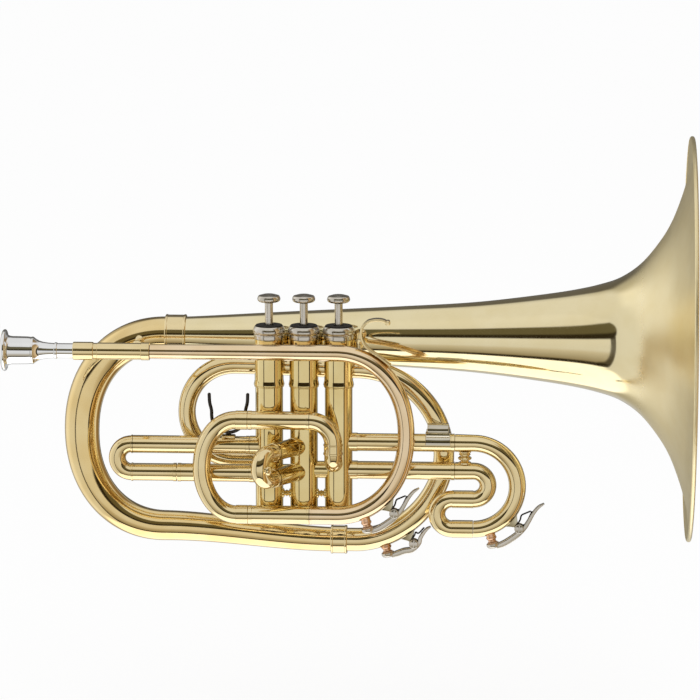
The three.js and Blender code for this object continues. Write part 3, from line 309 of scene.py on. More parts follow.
def wire(name, points, radius, sides, perSpan):
    # round wire through points, with domed ends
    line = smoothLine(points, perSpan)
    path = TubePath(line[0], line[1] - line[0], radius)
    for before, here in zip(line, line[1:]):
        path.goTo(here, here - before)
    dome = [(radius * (1 - share), radius * sin(acos(1 - share))) for share in (0.0, 0.35, 0.7, 0.92)]
    rings = [(0.0, -beyond, size) for beyond, size in dome]
    rings += [(distance, 0.0, radius) for distance, *_ in path.stations]
    rings += [(path.length, beyond, size) for beyond, size in reversed(dome)]
    points = []
    for distance, beyond, size in rings:
        points.extend(path.ringAt(distance, size, sides, beyond))
    return makeObject(name, points, ringFaces(len(rings), sides), 60)


def strap(name, outline, thickness, width, layer, edge, widths, depths=lambda share: 1.0):
    # flat strip bent along a line in the plane of the tubes, with rounded edges
    line = smoothLine(outline, 8)
    thin, wide = min(edge / thickness, 0.45), min(edge / width, 0.45)
    section = []
    for sx, sy in ((-1, -1), (1, -1), (1, 1), (-1, 1)):
        for angle in (0, 30, 60, 90):
            cx, cy = sin(radians(angle)), cos(radians(angle))
            if sx * sy > 0:
                cx, cy = cy, cx
            section.append((sx * (0.5 - thin + thin * cx), sy * (0.5 - wide + wide * cy)))
    points = []
    last = len(line) - 1
    for index, here in enumerate(line):
        along = (line[min(index + 1, last)] - line[max(index - 1, 0)]).normalized()
        side = Vector((-along.y, along.x))
        depth = thickness * depths(index / last)
        for across, over in section:
            spot = here + side * (across * depth)
            points.append((spot.x, layer + over * width * widths(index / last), spot.y))
    sides = len(section)
    ends = [tuple(range(sides)), tuple(range(last * sides, (last + 1) * sides))]
    return makeObject(name, points, ends + ringFaces(last + 1, sides), 50)


def drawnOut(name, outline, low, high, edge, place):
    # closed outline drawn out from low to high with softened rims; place(level, a, b) gives each point
    count = len(outline)
    middle = Vector((sum(a for a, _ in outline) / count, sum(b for _, b in outline) / count))
    rims = [(low, edge), (low + edge * 0.3, edge * 0.35), (low + edge, 0),
            (high - edge, 0), (high - edge * 0.3, edge * 0.35), (high, edge)]
    points = []
    for level, inset in rims:
        for corner in outline:
            inward = middle - Vector(corner)
            spot = Vector(corner) + inward.normalized() * min(inset, inward.length * 0.5)
            points.append(place(level, *spot))
    ends = [tuple(range(count)), tuple(range(5 * count, 6 * count))]
    return makeObject(name, points, ends + ringFaces(len(rims), count))


# Finishes

def put(tree, socket, value):
    # links a socket or a node's first output, and sets anything else
    source = value.outputs[0] if isinstance(value, bpy.types.Node) else value
    if isinstance(source, bpy.types.NodeSocket):
        tree.links.new(source, socket)
    else:
        socket.default_value = source


def addNode(tree, kind, inputs=None, **settings):
    node = tree.nodes.new(kind)
    for name, value in settings.items():
        setattr(node, name, value)
    for name, value in (inputs or {}).items():
        put(tree, node.inputs[name], value)
    return node


def newFinish(name):
    material = bpy.data.materials.new(name)
    material.use_nodes = True
    return material, material.node_tree, addNode(material.node_tree, "ShaderNodeTexCoord")


def addNoise(tree, place, scale, detail, roughness=0.5, stretch=(1, 1, 1)):
    mapping = addNode(tree, "ShaderNodeMapping", {"Scale": stretch, "Vector": place.outputs["Object"]})
    return addNode(tree, "ShaderNodeTexNoise",
                   {"Scale": scale, "Detail": detail, "Roughness": roughness, "Vector": mapping})


def addRamp(tree, source, stops):
    ramp = addNode(tree, "ShaderNodeValToRGB", {"Fac": source})
    elements = ramp.color_ramp.elements
    while len(elements) < len(stops):
        elements.new(0.5)
    for element, (position, colour) in zip(elements, stops):
        element.position, element.color = position, (*colour, 1)
    return ramp


def fillShader(tree, inputs):
    for name, value in inputs.items():
        put(tree, tree.nodes["Principled BSDF"].inputs[name], value)


def metalFinish(name, pale, deep, gloss, coat):
    # polished metal: two tones in soft clouds, wiped-on gloss changes and faint polishing marks
    material, tree, place = newFinish(name)
    wipes = addNoise(tree, place, 130, 4, 0.6, (1, 1, 2.2))
    marks = addNoise(tree, place, 900, 3, 0.6, (1, 1, 6))
    fillShader(tree, {
        "Base Color": addRamp(tree, addNoise(tree, place, 55, 3), [(0.34, deep), (0.66, pale)]),
        "Roughness": addNode(tree, "ShaderNodeMapRange", {
            "From Min": 0.3, "From Max": 0.7, "To Min": gloss[0], "To Max": gloss[1], "Value": wipes}),
        "Normal": addNode(tree, "ShaderNodeBump", {"Strength": 0.006, "Distance": 0.00004, "Height": marks}),
        "Metallic": 1.0, "Coat Weight": coat, "Coat Roughness": 0.03, "Coat IOR": 1.45,
    })
    return material


def grainFinish(name, grain, stops, roughness, bump):
    # felt and cork: coloured grain that also stands a little proud
    material, tree, place = newFinish(name)
    grains = addNoise(tree, place, *grain)
    fillShader(tree, {
        "Base Color": addRamp(tree, grains, stops), "Roughness": roughness,
        "Normal": addNode(tree, "ShaderNodeBump", {"Strength": bump, "Distance": 0.0002, "Height": grains}),
    })
    return material


def satinToRim(material, start, end, extra):
    # the hand-finished flare grows softer towards its rim, by the place along the bell in metres
    tree = material.node_tree
    gloss = tree.nodes["Principled BSDF"].inputs["Roughness"]
    split = addNode(tree, "ShaderNodeSeparateXYZ", {"Vector": tree.nodes["Texture Coordinate"].outputs["Object"]})
    reach = addNode(tree, "ShaderNodeMapRange", {
        "From Min": start, "From Max": end, "To Max": extra, "Value": split}, interpolation_type="SMOOTHSTEP")
    put(tree, gloss, addNode(tree, "ShaderNodeMath", {0: gloss.links[0].from_socket, 1: reach}))


# each metal: pale and deep tones, least and most roughness, share of lacquer, slot
metals = {
    "bellBrass": ((0.86, 0.75, 0.47), (0.83, 0.71, 0.42), (0.05, 0.10), 0.1, "lacquered_brass"),
    "tubeBrass": ((0.85, 0.70, 0.40), (0.80, 0.64, 0.34), (0.05, 0.10), 0.3, "lacquered_brass"),
    "valveBrass": ((0.84, 0.69, 0.35), (0.79, 0.62, 0.28), (0.05, 0.10), 0.25, "lacquered_brass"),
    "bowBrass": ((0.85, 0.67, 0.34), (0.80, 0.60, 0.27), (0.05, 0.10), 0.3, "lacquered_brass"),
    "roseBrass": ((0.88, 0.70, 0.46), (0.84, 0.64, 0.39), (0.05, 0.10), 0.3, "rose_brass"),
    "nickelSilver": ((0.66, 0.61, 0.53), (0.57, 0.53, 0.45), (0.13, 0.21), 0.1, "nickel_silver"),
    "bracketNickel": ((0.64, 0.59, 0.48), (0.56, 0.51, 0.40), (0.04, 0.08), 0.1, "nickel_silver"),
    "plateBrass": ((0.72, 0.67, 0.51), (0.64, 0.59, 0.43), (0.12, 0.20), 0.1, "nickel_silver"),
    "silverPlate": ((0.88, 0.88, 0.87), (0.82, 0.82, 0.81), (0.03, 0.07), 0.0, "silver_plate"),
    "copperBrass": ((0.80, 0.52, 0.34), (0.70, 0.42, 0.25), (0.08, 0.16), 0.0, "rose_brass"),
    "darkWire": ((0.06, 0.055, 0.05), (0.03, 0.027, 0.024), (0.20, 0.36), 0.0, "spring_steel"),
    "springSteel": ((0.52, 0.51, 0.49), (0.42, 0.41, 0.40), (0.16, 0.30), 0.0, "spring_steel"),
}
finishes = {name: metalFinish(name, *look[:4]) for name, look in metals.items()}
slots = {name: look[4] for name, look in metals.items()}
slots.update({"blackFelt": "black_felt", "cork": "nickel_silver"})
satinToRim(finishes["bellBrass"], 0.206, 0.236, 0.3)
finishes["blackFelt"] = grainFinish("blackFelt", (2600, 5, 0.7), [
    (0.35, (0.0099, 0.00765, 0.00585)), (0.7, (0.022, 0.017, 0.013))], 0.95, 0.6)
fillShader(finishes["blackFelt"].node_tree, {"Sheen Weight": 0.04, "Specular IOR Level": 0.2})
finishes["cork"] = grainFinish("cork", (1500, 4, 0.65), [
    (0.35, (0.22, 0.11, 0.05)), (0.5, (0.5, 0.3, 0.15)), (0.7, (0.62, 0.42, 0.24))], 0.8, 0.4)
print("finishes made")


def dress(piece, node=None, finish="tubeBrass", body="instrument"):
    piece.data.materials.clear()
    piece.data.materials.append(finishes[finish])
    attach(piece, body)
    if node:
        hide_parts(node)


# Valves

valve = {
    "casingRadius": 9.2, "upperRadius": 9.6, "bandRadius": 9.95, "bore": 8.55,
    "top": 58.6, "bottom": -61.0, "seam": 26.2, "bandHeight": 4.2,
    "stemRadius": 2.7, "buttonTop": 88.4, "buttonUnder": 83.1, "capBase": -65.7,
}
knurl = {"count": 54, "radius": 8.85, "depth": 0.4, "height": 2.1, "rise": 2.4}
spring = {"radius": 5.6, "wire": 0.7, "curls": 5, "steps": 12, "travel": 14.0}


def valveParts():
    # each turned part's node, finish, edge, segments and profile
    v = valve
    band, upper, stem = v["bandRadius"], v["upperRadius"], v["stemRadius"]
    return {
        "casing": ("valve_casing", "valveBrass", 0.18, 96, [
            (v["bottom"], v["bore"]), (v["bottom"], v["casingRadius"]), (v["seam"], v["casingRadius"]),
            *shifted(v["seam"], [(0, band - 0.1), (0.7, band), (0.85, band - 0.2), (1.1, band - 0.2),
                                 (1.25, band + 0.25), (1.7, band + 0.27)]),
            *shifted(v["seam"] + v["bandHeight"], [(0, upper + 0.08), (0.3, upper), (0.8, upper)]),
            (v["top"], upper), (v["top"], v["bore"]),
        ]),
        "topCap": ("top_cap", "nickelSilver", 0.12, 96, [
            (58.9, 8.2), (58.9, 9.95), (61.2, 9.95), (61.5, 9.7), (61.9, 9.75), (62.3, 10.3), (62.8, 10.65),
            (63.5, 10.88), (64.4, 10.86), (65.3, 10.62), (66.1, 10.2), (66.8, 9.75), (67.25, 9.35), (67.2, 9.12),
            (66.5, 9.1), (66.4, 3.2), (54.5, 3.2), (54.5, 8.2),
        ]),
        "capFelt": ("cap_felt", "blackFelt", 0.15, 64, [
            (66.6, 3.05), (66.6, 8.95), (67.7, 9.0), (68.0, 8.7), (68.05, 3.4), (67.8, 3.05),
        ]),
        "button": ("finger_button", "nickelSilver", 0.12, 80, [
            (54.5, 0), (54.5, stem),
            *shifted(v["buttonUnder"], [
                (-0.5, stem), (0, stem + 0.45), (0.05, 5.0), (0.4, 6.4), (1.0, 7.2), (1.7, 7.6), (2.4, 7.66),
                (3.2, 7.5), (3.9, 7.2), (4.3, 6.95)]),
            *shifted(v["buttonTop"], [(-0.85, 6.75), (-0.7, 6.3), (-0.12, 4.3), (0, 3.9), (0, 0)]),
        ]),
        "bottomCap": ("bottom_cap", "nickelSilver", 0.15, 96, shifted(v["capBase"], [
            (0, 2.2), (0, 5.9), (0.25, 6.2), (0.25, 7.0), (0, 7.3), (0, 8.2), (0.8, 9.0), (1.2, 9.0), (1.2, 8.8),
            (3.6, 8.8), (3.6, 9.15), (4.3, 9.15), (4.35, 8.2), (6.9, 8.2), (6.9, 7.5), (1.8, 7.5), (1.8, 2.2),
        ])),
    }


def ribTree(name):
    # ring of upright ribs round +Z: a circle of points, one bar on each, realised and given its finish
    tree = bpy.data.node_groups.new(name, "GeometryNodeTree")
    tree.is_modifier = True
    tree.interface.new_socket("Geometry", in_out="OUTPUT", socket_type="NodeSocketGeometry")
    sockets = {}
    for label, kind in (("Count", "Int"), ("Radius", "Float"), ("Rib Depth", "Float"), ("Rib Width", "Float"),
                        ("Rib Height", "Float"), ("Finish", "Material")):
        socket = tree.interface.new_socket(label, in_out="INPUT", socket_type="NodeSocket" + kind)
        sockets[label] = socket.identifier
    given = addNode(tree, "NodeGroupInput").outputs
    ring = addNode(tree, "GeometryNodeMeshCircle", {"Vertices": given["Count"], "Radius": given["Radius"]})
    size = addNode(tree, "ShaderNodeCombineXYZ", {
        "X": given["Rib Depth"], "Y": given["Rib Width"], "Z": given["Rib Height"]})
    bar = addNode(tree, "GeometryNodeMeshCube", {"Size": size})
    outward = addNode(tree, "GeometryNodeInputPosition")
    turn = addNode(tree, "FunctionNodeAlignEulerToVector", {"Vector": outward}, axis="X")
    spread = addNode(tree, "GeometryNodeInstanceOnPoints", {"Points": ring, "Instance": bar, "Rotation": turn})
    real = addNode(tree, "GeometryNodeRealizeInstances", {"Geometry": spread})
    paint = addNode(tree, "GeometryNodeSetMaterial", {"Geometry": real, "Material": given["Finish"]})
    addNode(tree, "NodeGroupOutput", {"Geometry": paint})
    return tree, sockets


ribs, ribInputs = ribTree("knurledBand")


def knurledBand(name, place):
    # the ring of ribs as a plain mesh, moved to its place on the valve's axis
    k = knurl
    holder = addObject(name + "Maker", bpy.data.meshes.new(name + "Maker"))
    maker = holder.modifiers.new("ribs", "NODES")
    maker.node_group = ribs
    given = {"Count": k["count"], "Radius": k["radius"] * mm, "Rib Depth": k["depth"] * mm,
             "Rib Width": pi * k["radius"] / k["count"] * mm, "Rib Height": k["height"] * mm,
             "Finish": finishes["nickelSilver"]}
    for label, value in given.items():
        maker[ribInputs[label]] = value
    view = bpy.context.evaluated_depsgraph_get()
    mesh = bpy.data.meshes.new_from_object(holder.evaluated_get(view))
    bpy.data.objects.remove(holder)
    mesh.transform(Matrix.Translation(place * mm))
    mesh.name = name
    return addObject(name, mesh)


def pistonSpring(number, centre):
    # spring under the piston, coiled over the height of its frame part
    s = spring
    low, high = (corner.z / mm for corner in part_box(f"piston_spring_{number}"))
    rise = (high - low - 2 * s["wire"]) / (s["curls"] * s["steps"])
    points = []
    for step in range(s["curls"] * s["steps"] + 1):
        angle = 2 * pi * step / s["steps"]
        points.append(centre + Vector((s["radius"] * cos(angle), s["radius"] * sin(angle),
                                       low + s["wire"] + rise * step)))
    piece = wire(f"pistonSpring{number}", points, s["wire"], 12, 3)
    dress(piece, f"piston_spring_{number}", "springSteel")
    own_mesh(piece)


for number in (1, 2, 3):
    centre = Vector(((number - 2) * valvePitch, 0, 0))
    for name, (node, finish, edge, segments, profile) in valveParts().items():
        body = f"valve_{number}" if name == "button" else "instrument"
        dress(turned(f"{name}{number}", profile, axisZ, centre, edge, segments), f"{node}_{number}", finish, body)
    place = centre + axisZ * (valve["capBase"] + knurl["rise"])
    dress(knurledBand(f"bottomCapKnurl{number}", place), finish="nickelSilver")
    pistonSpring(number, centre)
    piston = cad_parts[f"piston_{number}"]
    piston.data.materials.clear()
    piston.data.materials.append(finishes["nickelSilver"])
print("valves made")


# Crossover tubes and the small braces between the casings

crossing = {"levels": (-32.6, -30.2), "radius": 5.8, "reach": 5.0, "braceLevel": -46.5}
valveBraceShape = [
    (-2.9, 0), (-2.9, 3.1), (-2.1, 3.1), (-1.7, 2.7), (-1.5, 1.9), (-0.9, 1.6), (-0.5, 2.0), (0, 2.3),
    (0.5, 2.0), (0.9, 1.6), (1.5, 1.9), (1.7, 2.7), (2.1, 3.1), (2.9, 3.1), (2.9, 0),
]
for number, level in enumerate(crossing["levels"], 1):
    start = ((number - 2) * valvePitch + crossing["reach"], 0, level)
    path = pipe(start, axisX, (crossing["radius"], valvePitch - 2 * crossing["reach"]))
    dress(tube(f"crossover{number}{number + 1}", path), f"crossover_{number}_{number + 1}", "valveBrass")
for number in (1, 2):
    middle = ((number - 2) * valvePitch + valvePitch / 2, 0, crossing["braceLevel"])
    brace = turned(f"valveBrace{number}{number + 1}", valveBraceShape, axisX, middle, 0.12, 40)
    dress(brace, f"valve_brace_{number}_{number + 1}", "valveBrass")


# Mouthpiece and its receiver, from the rim and from the receiver's mouth

mouth = {"rimFace": -199.8, "receiverMouth": -152.4}
mouthpieceShape = [
    (0.9, 8.9), (0.25, 9.6), (0, 10.6), (0.1, 11.8), (0.45, 12.9), (1.0, 13.6), (1.8, 13.95), (2.6, 13.7),
    (3.0, 13.0), (3.25, 11.6), (3.9, 10.3), (5.2, 9.6), (7.0, 9.35), (12.0, 9.3), (17.0, 9.2), (19.4, 8.9),
    (20.2, 9.15), (21.0, 9.1), (21.6, 8.5), (23.0, 7.5), (25.0, 6.4), (27.5, 5.7), (31.0, 5.2), (34.9, 4.95),
    (35.2, 5.45), (36.6, 5.45), (36.9, 4.9), (47.4, 4.9), (61.8, 4.5), (61.8, 3.5), (28.0, 2.0), (19.0, 2.0),
    (16.5, 3.4), (13.5, 5.6), (9.5, 7.4), (5.0, 8.3), (2.2, 8.6),
]
receiverShape = [
    (0, 5.2), (0, 5.75), (0.5, 6.0), (12.9, 6.0), (13.5, 5.75), (13.6, 5.35), (16.0, 5.35), (16.2, 5.6),
    (45.3, 5.6), (45.5, 5.95), (50.8, 5.95), (51.0, 5.6), (51.0, 4.2), (14.7, 4.2), (14.5, 4.8),
]
leadAxis = (0, front, leadLevel)
dress(turned("mouthpieceTurned", shifted(mouth["rimFace"], mouthpieceShape), axisX, leadAxis, 0.25, 96),
      "mouthpiece", "silverPlate", "mouthpiece")
dress(turned("mouthpieceReceiver", shifted(mouth["receiverMouth"], receiverShape), axisX, leadAxis, 0.2, 64),
      "mouthpiece_receiver")


# Leadpipe and the tuning slide; a stretch of tube is (radius, length)

lead = {
    "start": -101.1, "radius": 4.85, "bendRadius": 5.6, "endRadius": 6.1,
    "bendStart": 21.8, "reach": 47.1, "fullness": 2.12, "collar": (6.32, 1.2),
}
tuning = {"outer": ((6.4, 1.4), (6.15, 36.9), (6.38, 2.4)), "leg": (5.25, 36.0), "ring": (6.35, 7.9),
          "legFrom": -0.6, "bendReach": 22.9}
elbow = {"bend": 15.7, "turn": 7.4, "into": 6,
         "upperRing": (6.55, 0.9), "sleeve": (6.2, 4.9), "lowerRing": (6.6, 1.2)}


def leadpipe():
    s = lead
    drop = (leadLevel - lowRun) / 2
    path = TubePath((s["start"], front, leadLevel), axisX, s["radius"])
    path.straight(s["bendStart"] - s["start"], s["bendRadius"])
    path.halfTurn(-axisZ, -axisX, s["reach"], drop, 40, (s["bendRadius"], s["endRadius"]), s["fullness"])
    path.straight(s["bendStart"] - tuningJoint - gap - s["collar"][1]).stretches(s["collar"])
    dress(tube("leadpipeTube", path, tapered=True), "leadpipe", "roseBrass")


def tuningSlide():
    t = tuning
    for label, level in (("upper", tuningLevel), ("lower", lowRun)):
        path = pipe((tuningJoint, front, level), -axisX, *t["outer"])
        dress(tube(f"tuningOuter{label.title()}", path), f"tuning_outer_{label}")
    path = pipe((t["legFrom"], front, tuningLevel), -axisX, t["leg"], t["ring"]).collar(legRadius)
    path.halfTurn(-axisZ, axisX, t["bendReach"], (tuningLevel - lowRun) / 2, 44).stretches(t["ring"], t["leg"])
    dress(tube("tuningCrook", path), "tuning_slide_crook", body="tuning_slide")


def entryElbow():
    e = elbow
    path = TubePath((tuningJoint + gap, front, tuningLevel), axisX, legRadius)
    path.quarter(-axisZ, e["bend"], e["bend"], 24).stretches(e["upperRing"], e["sleeve"], e["lowerRing"])
    path.collar(legRadius).quarter(axisY, e["turn"], e["turn"], 20).straight(-front - e["turn"] - e["into"])
    dress(tube("entryElbow", path), "entry_elbow")


# Water keys: the cup's place, the hinge's rise above it, the touch's share of full length, and the plate

keySizes = {"padHeight": 3.6, "armAcross": 17.4, "width": 4.6, "thickness": 4.0,
            "plate": 2.4, "plateSpread": 42, "plateBow": 0.9, "tilt": 13}
keys = {
    "leadpipe": {"cup": (43.6, front, -67.4), "rise": 11.4, "touch": 1.0, "footAngle": 40, "plateReach": 13.0,
                 "body": "instrument"},
    "branch": {"cup": (55.6, behind, -91.4), "rise": 7.4, "touch": 0.68, "footAngle": 34, "plateReach": 13.0,
               "body": "instrument"},
    "third_slide": {"cup": (126.7, 0, -80.4), "rise": 11.4, "touch": 1.0, "footAngle": 46, "plateReach": 14.0,
                    "body": "third_slide"},
}
leverDepths = [(0, 0.8), (0.12, 1.0), (0.36, 1.0), (0.5, 0.76), (0.9, 0.48), (1, 0.24)]
padShape = [
    (-2.4, 0), (-2.4, 1.6), (-2.0, 3.0), (-1.3, 3.9), (-0.4, 4.3), (0.9, 4.35), (1.1, 4.1), (1.1, 3.7), (0.6, 3.6),
    (0.5, 0),
]
earShape = [(0, 1.0), (0, 2.9), (0.25, 3.2), (0.65, 3.2), (0.9, 2.9), (0.9, 1.0)]
barrelShape = [(-1.7, 0), (-1.7, 1.45), (-1.4, 1.7), (1.4, 1.7), (1.7, 1.45), (1.7, 0)]
pinShape = [(-3.2, 0), (-3.2, 0.7), (3.0, 0.75), (3.2, 0.6), (3.2, 0)]
nippleShape = [
    (0, 1.3), (0, 2.5), (0.6, 2.6), (1.6, 2.7), (2.0, 3.2), (2.7, 3.5), (3.3, 3.5), (3.6, 3.1), (8.0, 3.1),
    (8.0, 1.3),
]
tilt = radians(keySizes["tilt"])
cupAxis = Vector((-sin(tilt), 0, cos(tilt)))


def slab(name, outline, low, high, edge, layer):
    # drawn out across the plane of the tubes
    return drawnOut(name, outline, low, high, edge, lambda across, x, z: (x, layer + across, z))


def keyLever(name, key, hinge):
    cup, reach, rise = Vector(key["cup"]), key["touch"], key["rise"]
    line = [(cup.x + x, cup.z + z) for x, z in ((2.4, -0.9), (6.4, rise * 0.05), (11.0, rise * 0.29))]
    line += [(hinge.x + x, hinge.z + z) for x, z in ((-1.2, -4.2), (3.7, 0.7))]
    touch = ((6.4, 5.0), (9.4, 10.4), (12.9, 14.7), (16.5, 17.1))
    line += [(hinge.x + x * reach, hinge.z + z * reach) for x, z in touch]
    bar = strap(name + "Bar", line, keySizes["thickness"], keySizes["width"], cup.y, 0.9,
                lambda share: 1.0 if share < 0.5 else 1.0 - 0.35 * (share - 0.5),
                lambda share: radiusOn(leverDepths, share))
    pad = turned(name + "Pad", padShape, cupAxis, cup, 0.15, 48)
    ears = [turned(name + "Ear", earShape, axisY * side, hinge + axisY * side * 2.0, 0.1, 40) for side in (-1, 1)]
    return joinMeshes(name + "KeyLever", [bar, pad, *ears])


def screwHead(name, centre, radius, slotAngle):
    # domed head towards -Y, cut by one slot
    base = turned(name + "Base", [(-0.3, 0), (-0.3, radius - 0.1), (0.3, radius - 0.1), (0.3, 0)], axisY, centre,
                  0.08, 36)
    halves = []
    for side in (0, 180):
        turns = [radians(8 + 164 * step / 14 + side + slotAngle) for step in range(15)]
        outline = [(centre.x + radius * cos(a), centre.z + radius * sin(a)) for a in turns]
        halves.append(slab(f"{name}Half", outline, -0.75, 0.0, 0.2, centre.y))
    return [base, *halves]


def keyPlate(name, key, hinge):
    # three-sided plate between the hinge and the tube, its two free sides slightly bowed
    k = keySizes
    tip = Vector((hinge.x, hinge.z))
    corners = []
    for side in (-1, 1):
        a = radians(key["footAngle"] + side * k["plateSpread"])
        corners.append(Vector((hinge.x - key["plateReach"] * sin(a), hinge.z + key["plateReach"] * cos(a))))
    outline = []
    for start, end, bowed in ((tip, corners[0], k["plateBow"]), (corners[0], corners[1], 0.0),
                              (corners[1], tip, k["plateBow"])):
        side = Vector((-(end - start).y, (end - start).x)).normalized()
        for step in range(8):
            share = step / 8
            outline.append(tuple(start.lerp(end, share) + side * (bowed * 4 * share * (1 - share))))
    return slab(name + "KeyPlate", outline, -k["plate"] / 2, k["plate"] / 2, 0.25, hinge.y)


def keySpring(name, key, hinge):
    # wire spring: free tail above the plate, one coil on the pin, long end under the touch
    reach, near = key["touch"], 1.95

    def spot(x, z, scale, forward):
        return hinge + Vector((x, 0, z)) * scale - axisY * forward

    points = [spot(7.4, 12.2, 0.75 + 0.25 * reach, near), spot(4.4, 10.9, reach, near),
              spot(1.6, 9.4, 0.6 + 0.4 * reach, near), spot(0.7, 6.4, 1, near)]
    for step in range(13):
        angle = radians(118 - step * 32)
        points.append(spot(cos(angle), sin(angle), 2.6, near - step * 0.06))
    points += [spot(4.2, 3.0, 1, 1.2), spot(6.6, 7.6, reach, 1.0), spot(8.4, 11.6, reach, 0.9)]
    return wire(name + "KeySpring", points, 0.55, 12, 5)


for name, key in keys.items():
    label = name.replace("third_slide", "thirdSlide")
    lever, body = f"{name}_key", key["body"]
    hinge = Vector(key["cup"]) + Vector((keySizes["armAcross"], 0, key["rise"]))
    dress(keyLever(label, key, hinge), f"{name}_water_key_lever", "nickelSilver", lever)
    padCork = turned(label + "KeyCork", [(0.4, 0), (0.4, 3.6), (1.9, 3.4), (2.0, 0)], cupAxis, key["cup"], 0.15, 40)
    dress(padCork, None, "cork", lever)
    barrel = turned(label + "Barrel", barrelShape, axisY, hinge, 0.1, 32)
    pin = turned(label + "Pin", pinShape, axisY, hinge, 0.08, 24)
    dress(keyPlate(label, key, hinge), None, "plateBrass", body)
    head = screwHead(label + "Screw", hinge - axisY * 3.3, 2.7, 84)
    dress(joinMeshes(label + "KeyBracket", [barrel, pin, *head]), f"{name}_water_key_bracket", "nickelSilver", body)
    dress(keySpring(label, key, hinge), None, "darkWire", body)
    foot = Vector(key["cup"]) + cupAxis * (keySizes["padHeight"] / 2 + gap)
    dress(turned(label + "Nipple", nippleShape, cupAxis, foot, 0.12, 40), None, "copperBrass", body)

leadpipe()
tuningSlide()
entryElbow()
print("leadpipe, tuning slide and water keys made")


# First slide with its thumb saddle

firstSlide = {"upper": -14.1, "pitch": 19.0, "from": -28.2, "seam": -36.6, "lowerSeam": -85.1, "crookAt": -114.9,
              "short": 4.0, "crookRing": (6.2, 1.0), "lowerLeg": (5.85, 27.2)}
saddle = {"at": -50.5, "level": -14.1, "arm": 14.5, "radius": 11.3, "flare": 1.6, "wire": 1.15, "above": 1.2}
endRing, crookEnd, socket = (6.25, 2.2), (6.2, 2.2), 6.35  # raised rings and sockets that the slides share


def firstSlideTubes():
    f = firstSlide
    upper, seam, lowerSeam, crookAt = f["upper"], f["seam"], f["lowerSeam"], f["crookAt"]
    path = pipe((f["from"], 0, upper), -axisX, (socket, f["from"] - seam - gap),
                (slideLeg, seam - crookAt - f["short"]))
    dress(tube("firstSlideInner", path), "first_slide_inner_tube")
    path = pipe((f["from"], 0, upper - f["pitch"]), -axisX, (socket, f["from"] - seam),
                (legRadius, seam - lowerSeam - gap - endRing[1]), endRing)
    dress(tube("firstSlideOuter", path), "first_slide_outer_tube")
    path = pipe((seam, 0, upper), -axisX, endRing, (legRadius, seam - crookAt - gap - endRing[1]))
    dress(tube("firstSlideSleeve", path), "first_slide_sleeve", body="first_slide")
    path = pipe((crookAt, 0, upper), -axisX, f["crookRing"]).collar(crookRadius)
    path.halfTurn(-axisZ, axisX, f["pitch"] / 2, f["pitch"] / 2, 22)
    path.stretches(f["crookRing"], f["lowerLeg"], crookEnd, (slideLeg, seam - lowerSeam - f["short"]))
    dress(tube("firstSlideCrook", path), "first_slide_crook", body="first_slide")


def thumbSaddle():
    s = saddle
    middle = Vector((s["at"], 0, s["level"]))
    bottom = s["level"] + legRadius + gap + s["above"]
    centre = bottom + s["wire"] + s["radius"]
    arm = [(s["radius"] + s["flare"], 1), (s["radius"] + s["flare"] - 0.3, 0.62), (s["radius"] + 0.1, 0.25)]
    points = [(s["at"] - out, 0, centre + s["arm"] * share) for out, share in arm]
    for step in range(13):
        angle = pi * step / 12
        points.append((s["at"] - s["radius"] * cos(angle), 0, centre - s["radius"] * sin(angle)))
    points += [(s["at"] + out, 0, centre + s["arm"] * share) for out, share in reversed(arm)]
    bow = wire("saddleWire", points, s["wire"], 20, 5)
    plate = turned("saddlePlate", [(-4.5, 5.9), (-4.5, 7.0), (-4.1, 7.3), (4.1, 7.3), (4.5, 7.0), (4.5, 5.9)],
                   axisX, middle, 0.2, 64)
    shape = bmesh.new()
    shape.from_mesh(plate.data)
    for side in (-1, 1):
        plane = Vector((0, side * 0.82, -0.57)).normalized()
        cut = bmesh.ops.bisect_plane(shape, geom=shape.verts[:] + shape.edges[:] + shape.faces[:],
                                     plane_co=middle * mm, plane_no=plane, clear_outer=True)
        bmesh.ops.holes_fill(shape, edges=[e for e in cut["geom_cut"] if isinstance(e, bmesh.types.BMEdge)])
    bmesh.ops.recalc_face_normals(shape, faces=shape.faces)
    shape.to_mesh(plate.data)
    shape.free()
    screw = turned("saddleScrew", [(0, 0), (0, 1.7), (0.5, 1.9), (1.0, 1.6), (1.2, 0)], axisZ, (s["at"], 0, bottom),
                   0.1, 24)
    dress(plate, body="first_slide")
    dress(joinMeshes("thumbSaddle", [bow, screw]), "thumb_saddle", "darkWire", "first_slide")


firstSlideTubes()
thumbSaddle()


# Second slide, which leaves its casing towards the front left

secondSlide = {"upper": -13.2, "pitch": 17.5, "angle": 34, "from": 6.0, "casing": 12.7, "outer": 17.5,
               "ring": (6.3, 2.0), "leg": (5.1, 14.0), "seam": (6.2, 1.2), "sleeve": (5.85, 5.8)}
knobShape = [
    (0, 0), (0, 1.3), (5.2, 1.3), (5.5, 2.1), (6.0, 1.6), (6.4, 2.3), (7.0, 2.9), (7.8, 3.15), (8.6, 2.9),
    (9.2, 2.2), (9.5, 1.2), (9.6, 0),
]
aside = radians(secondSlide["angle"])
slideOut = Vector((-sin(aside), -cos(aside), 0))


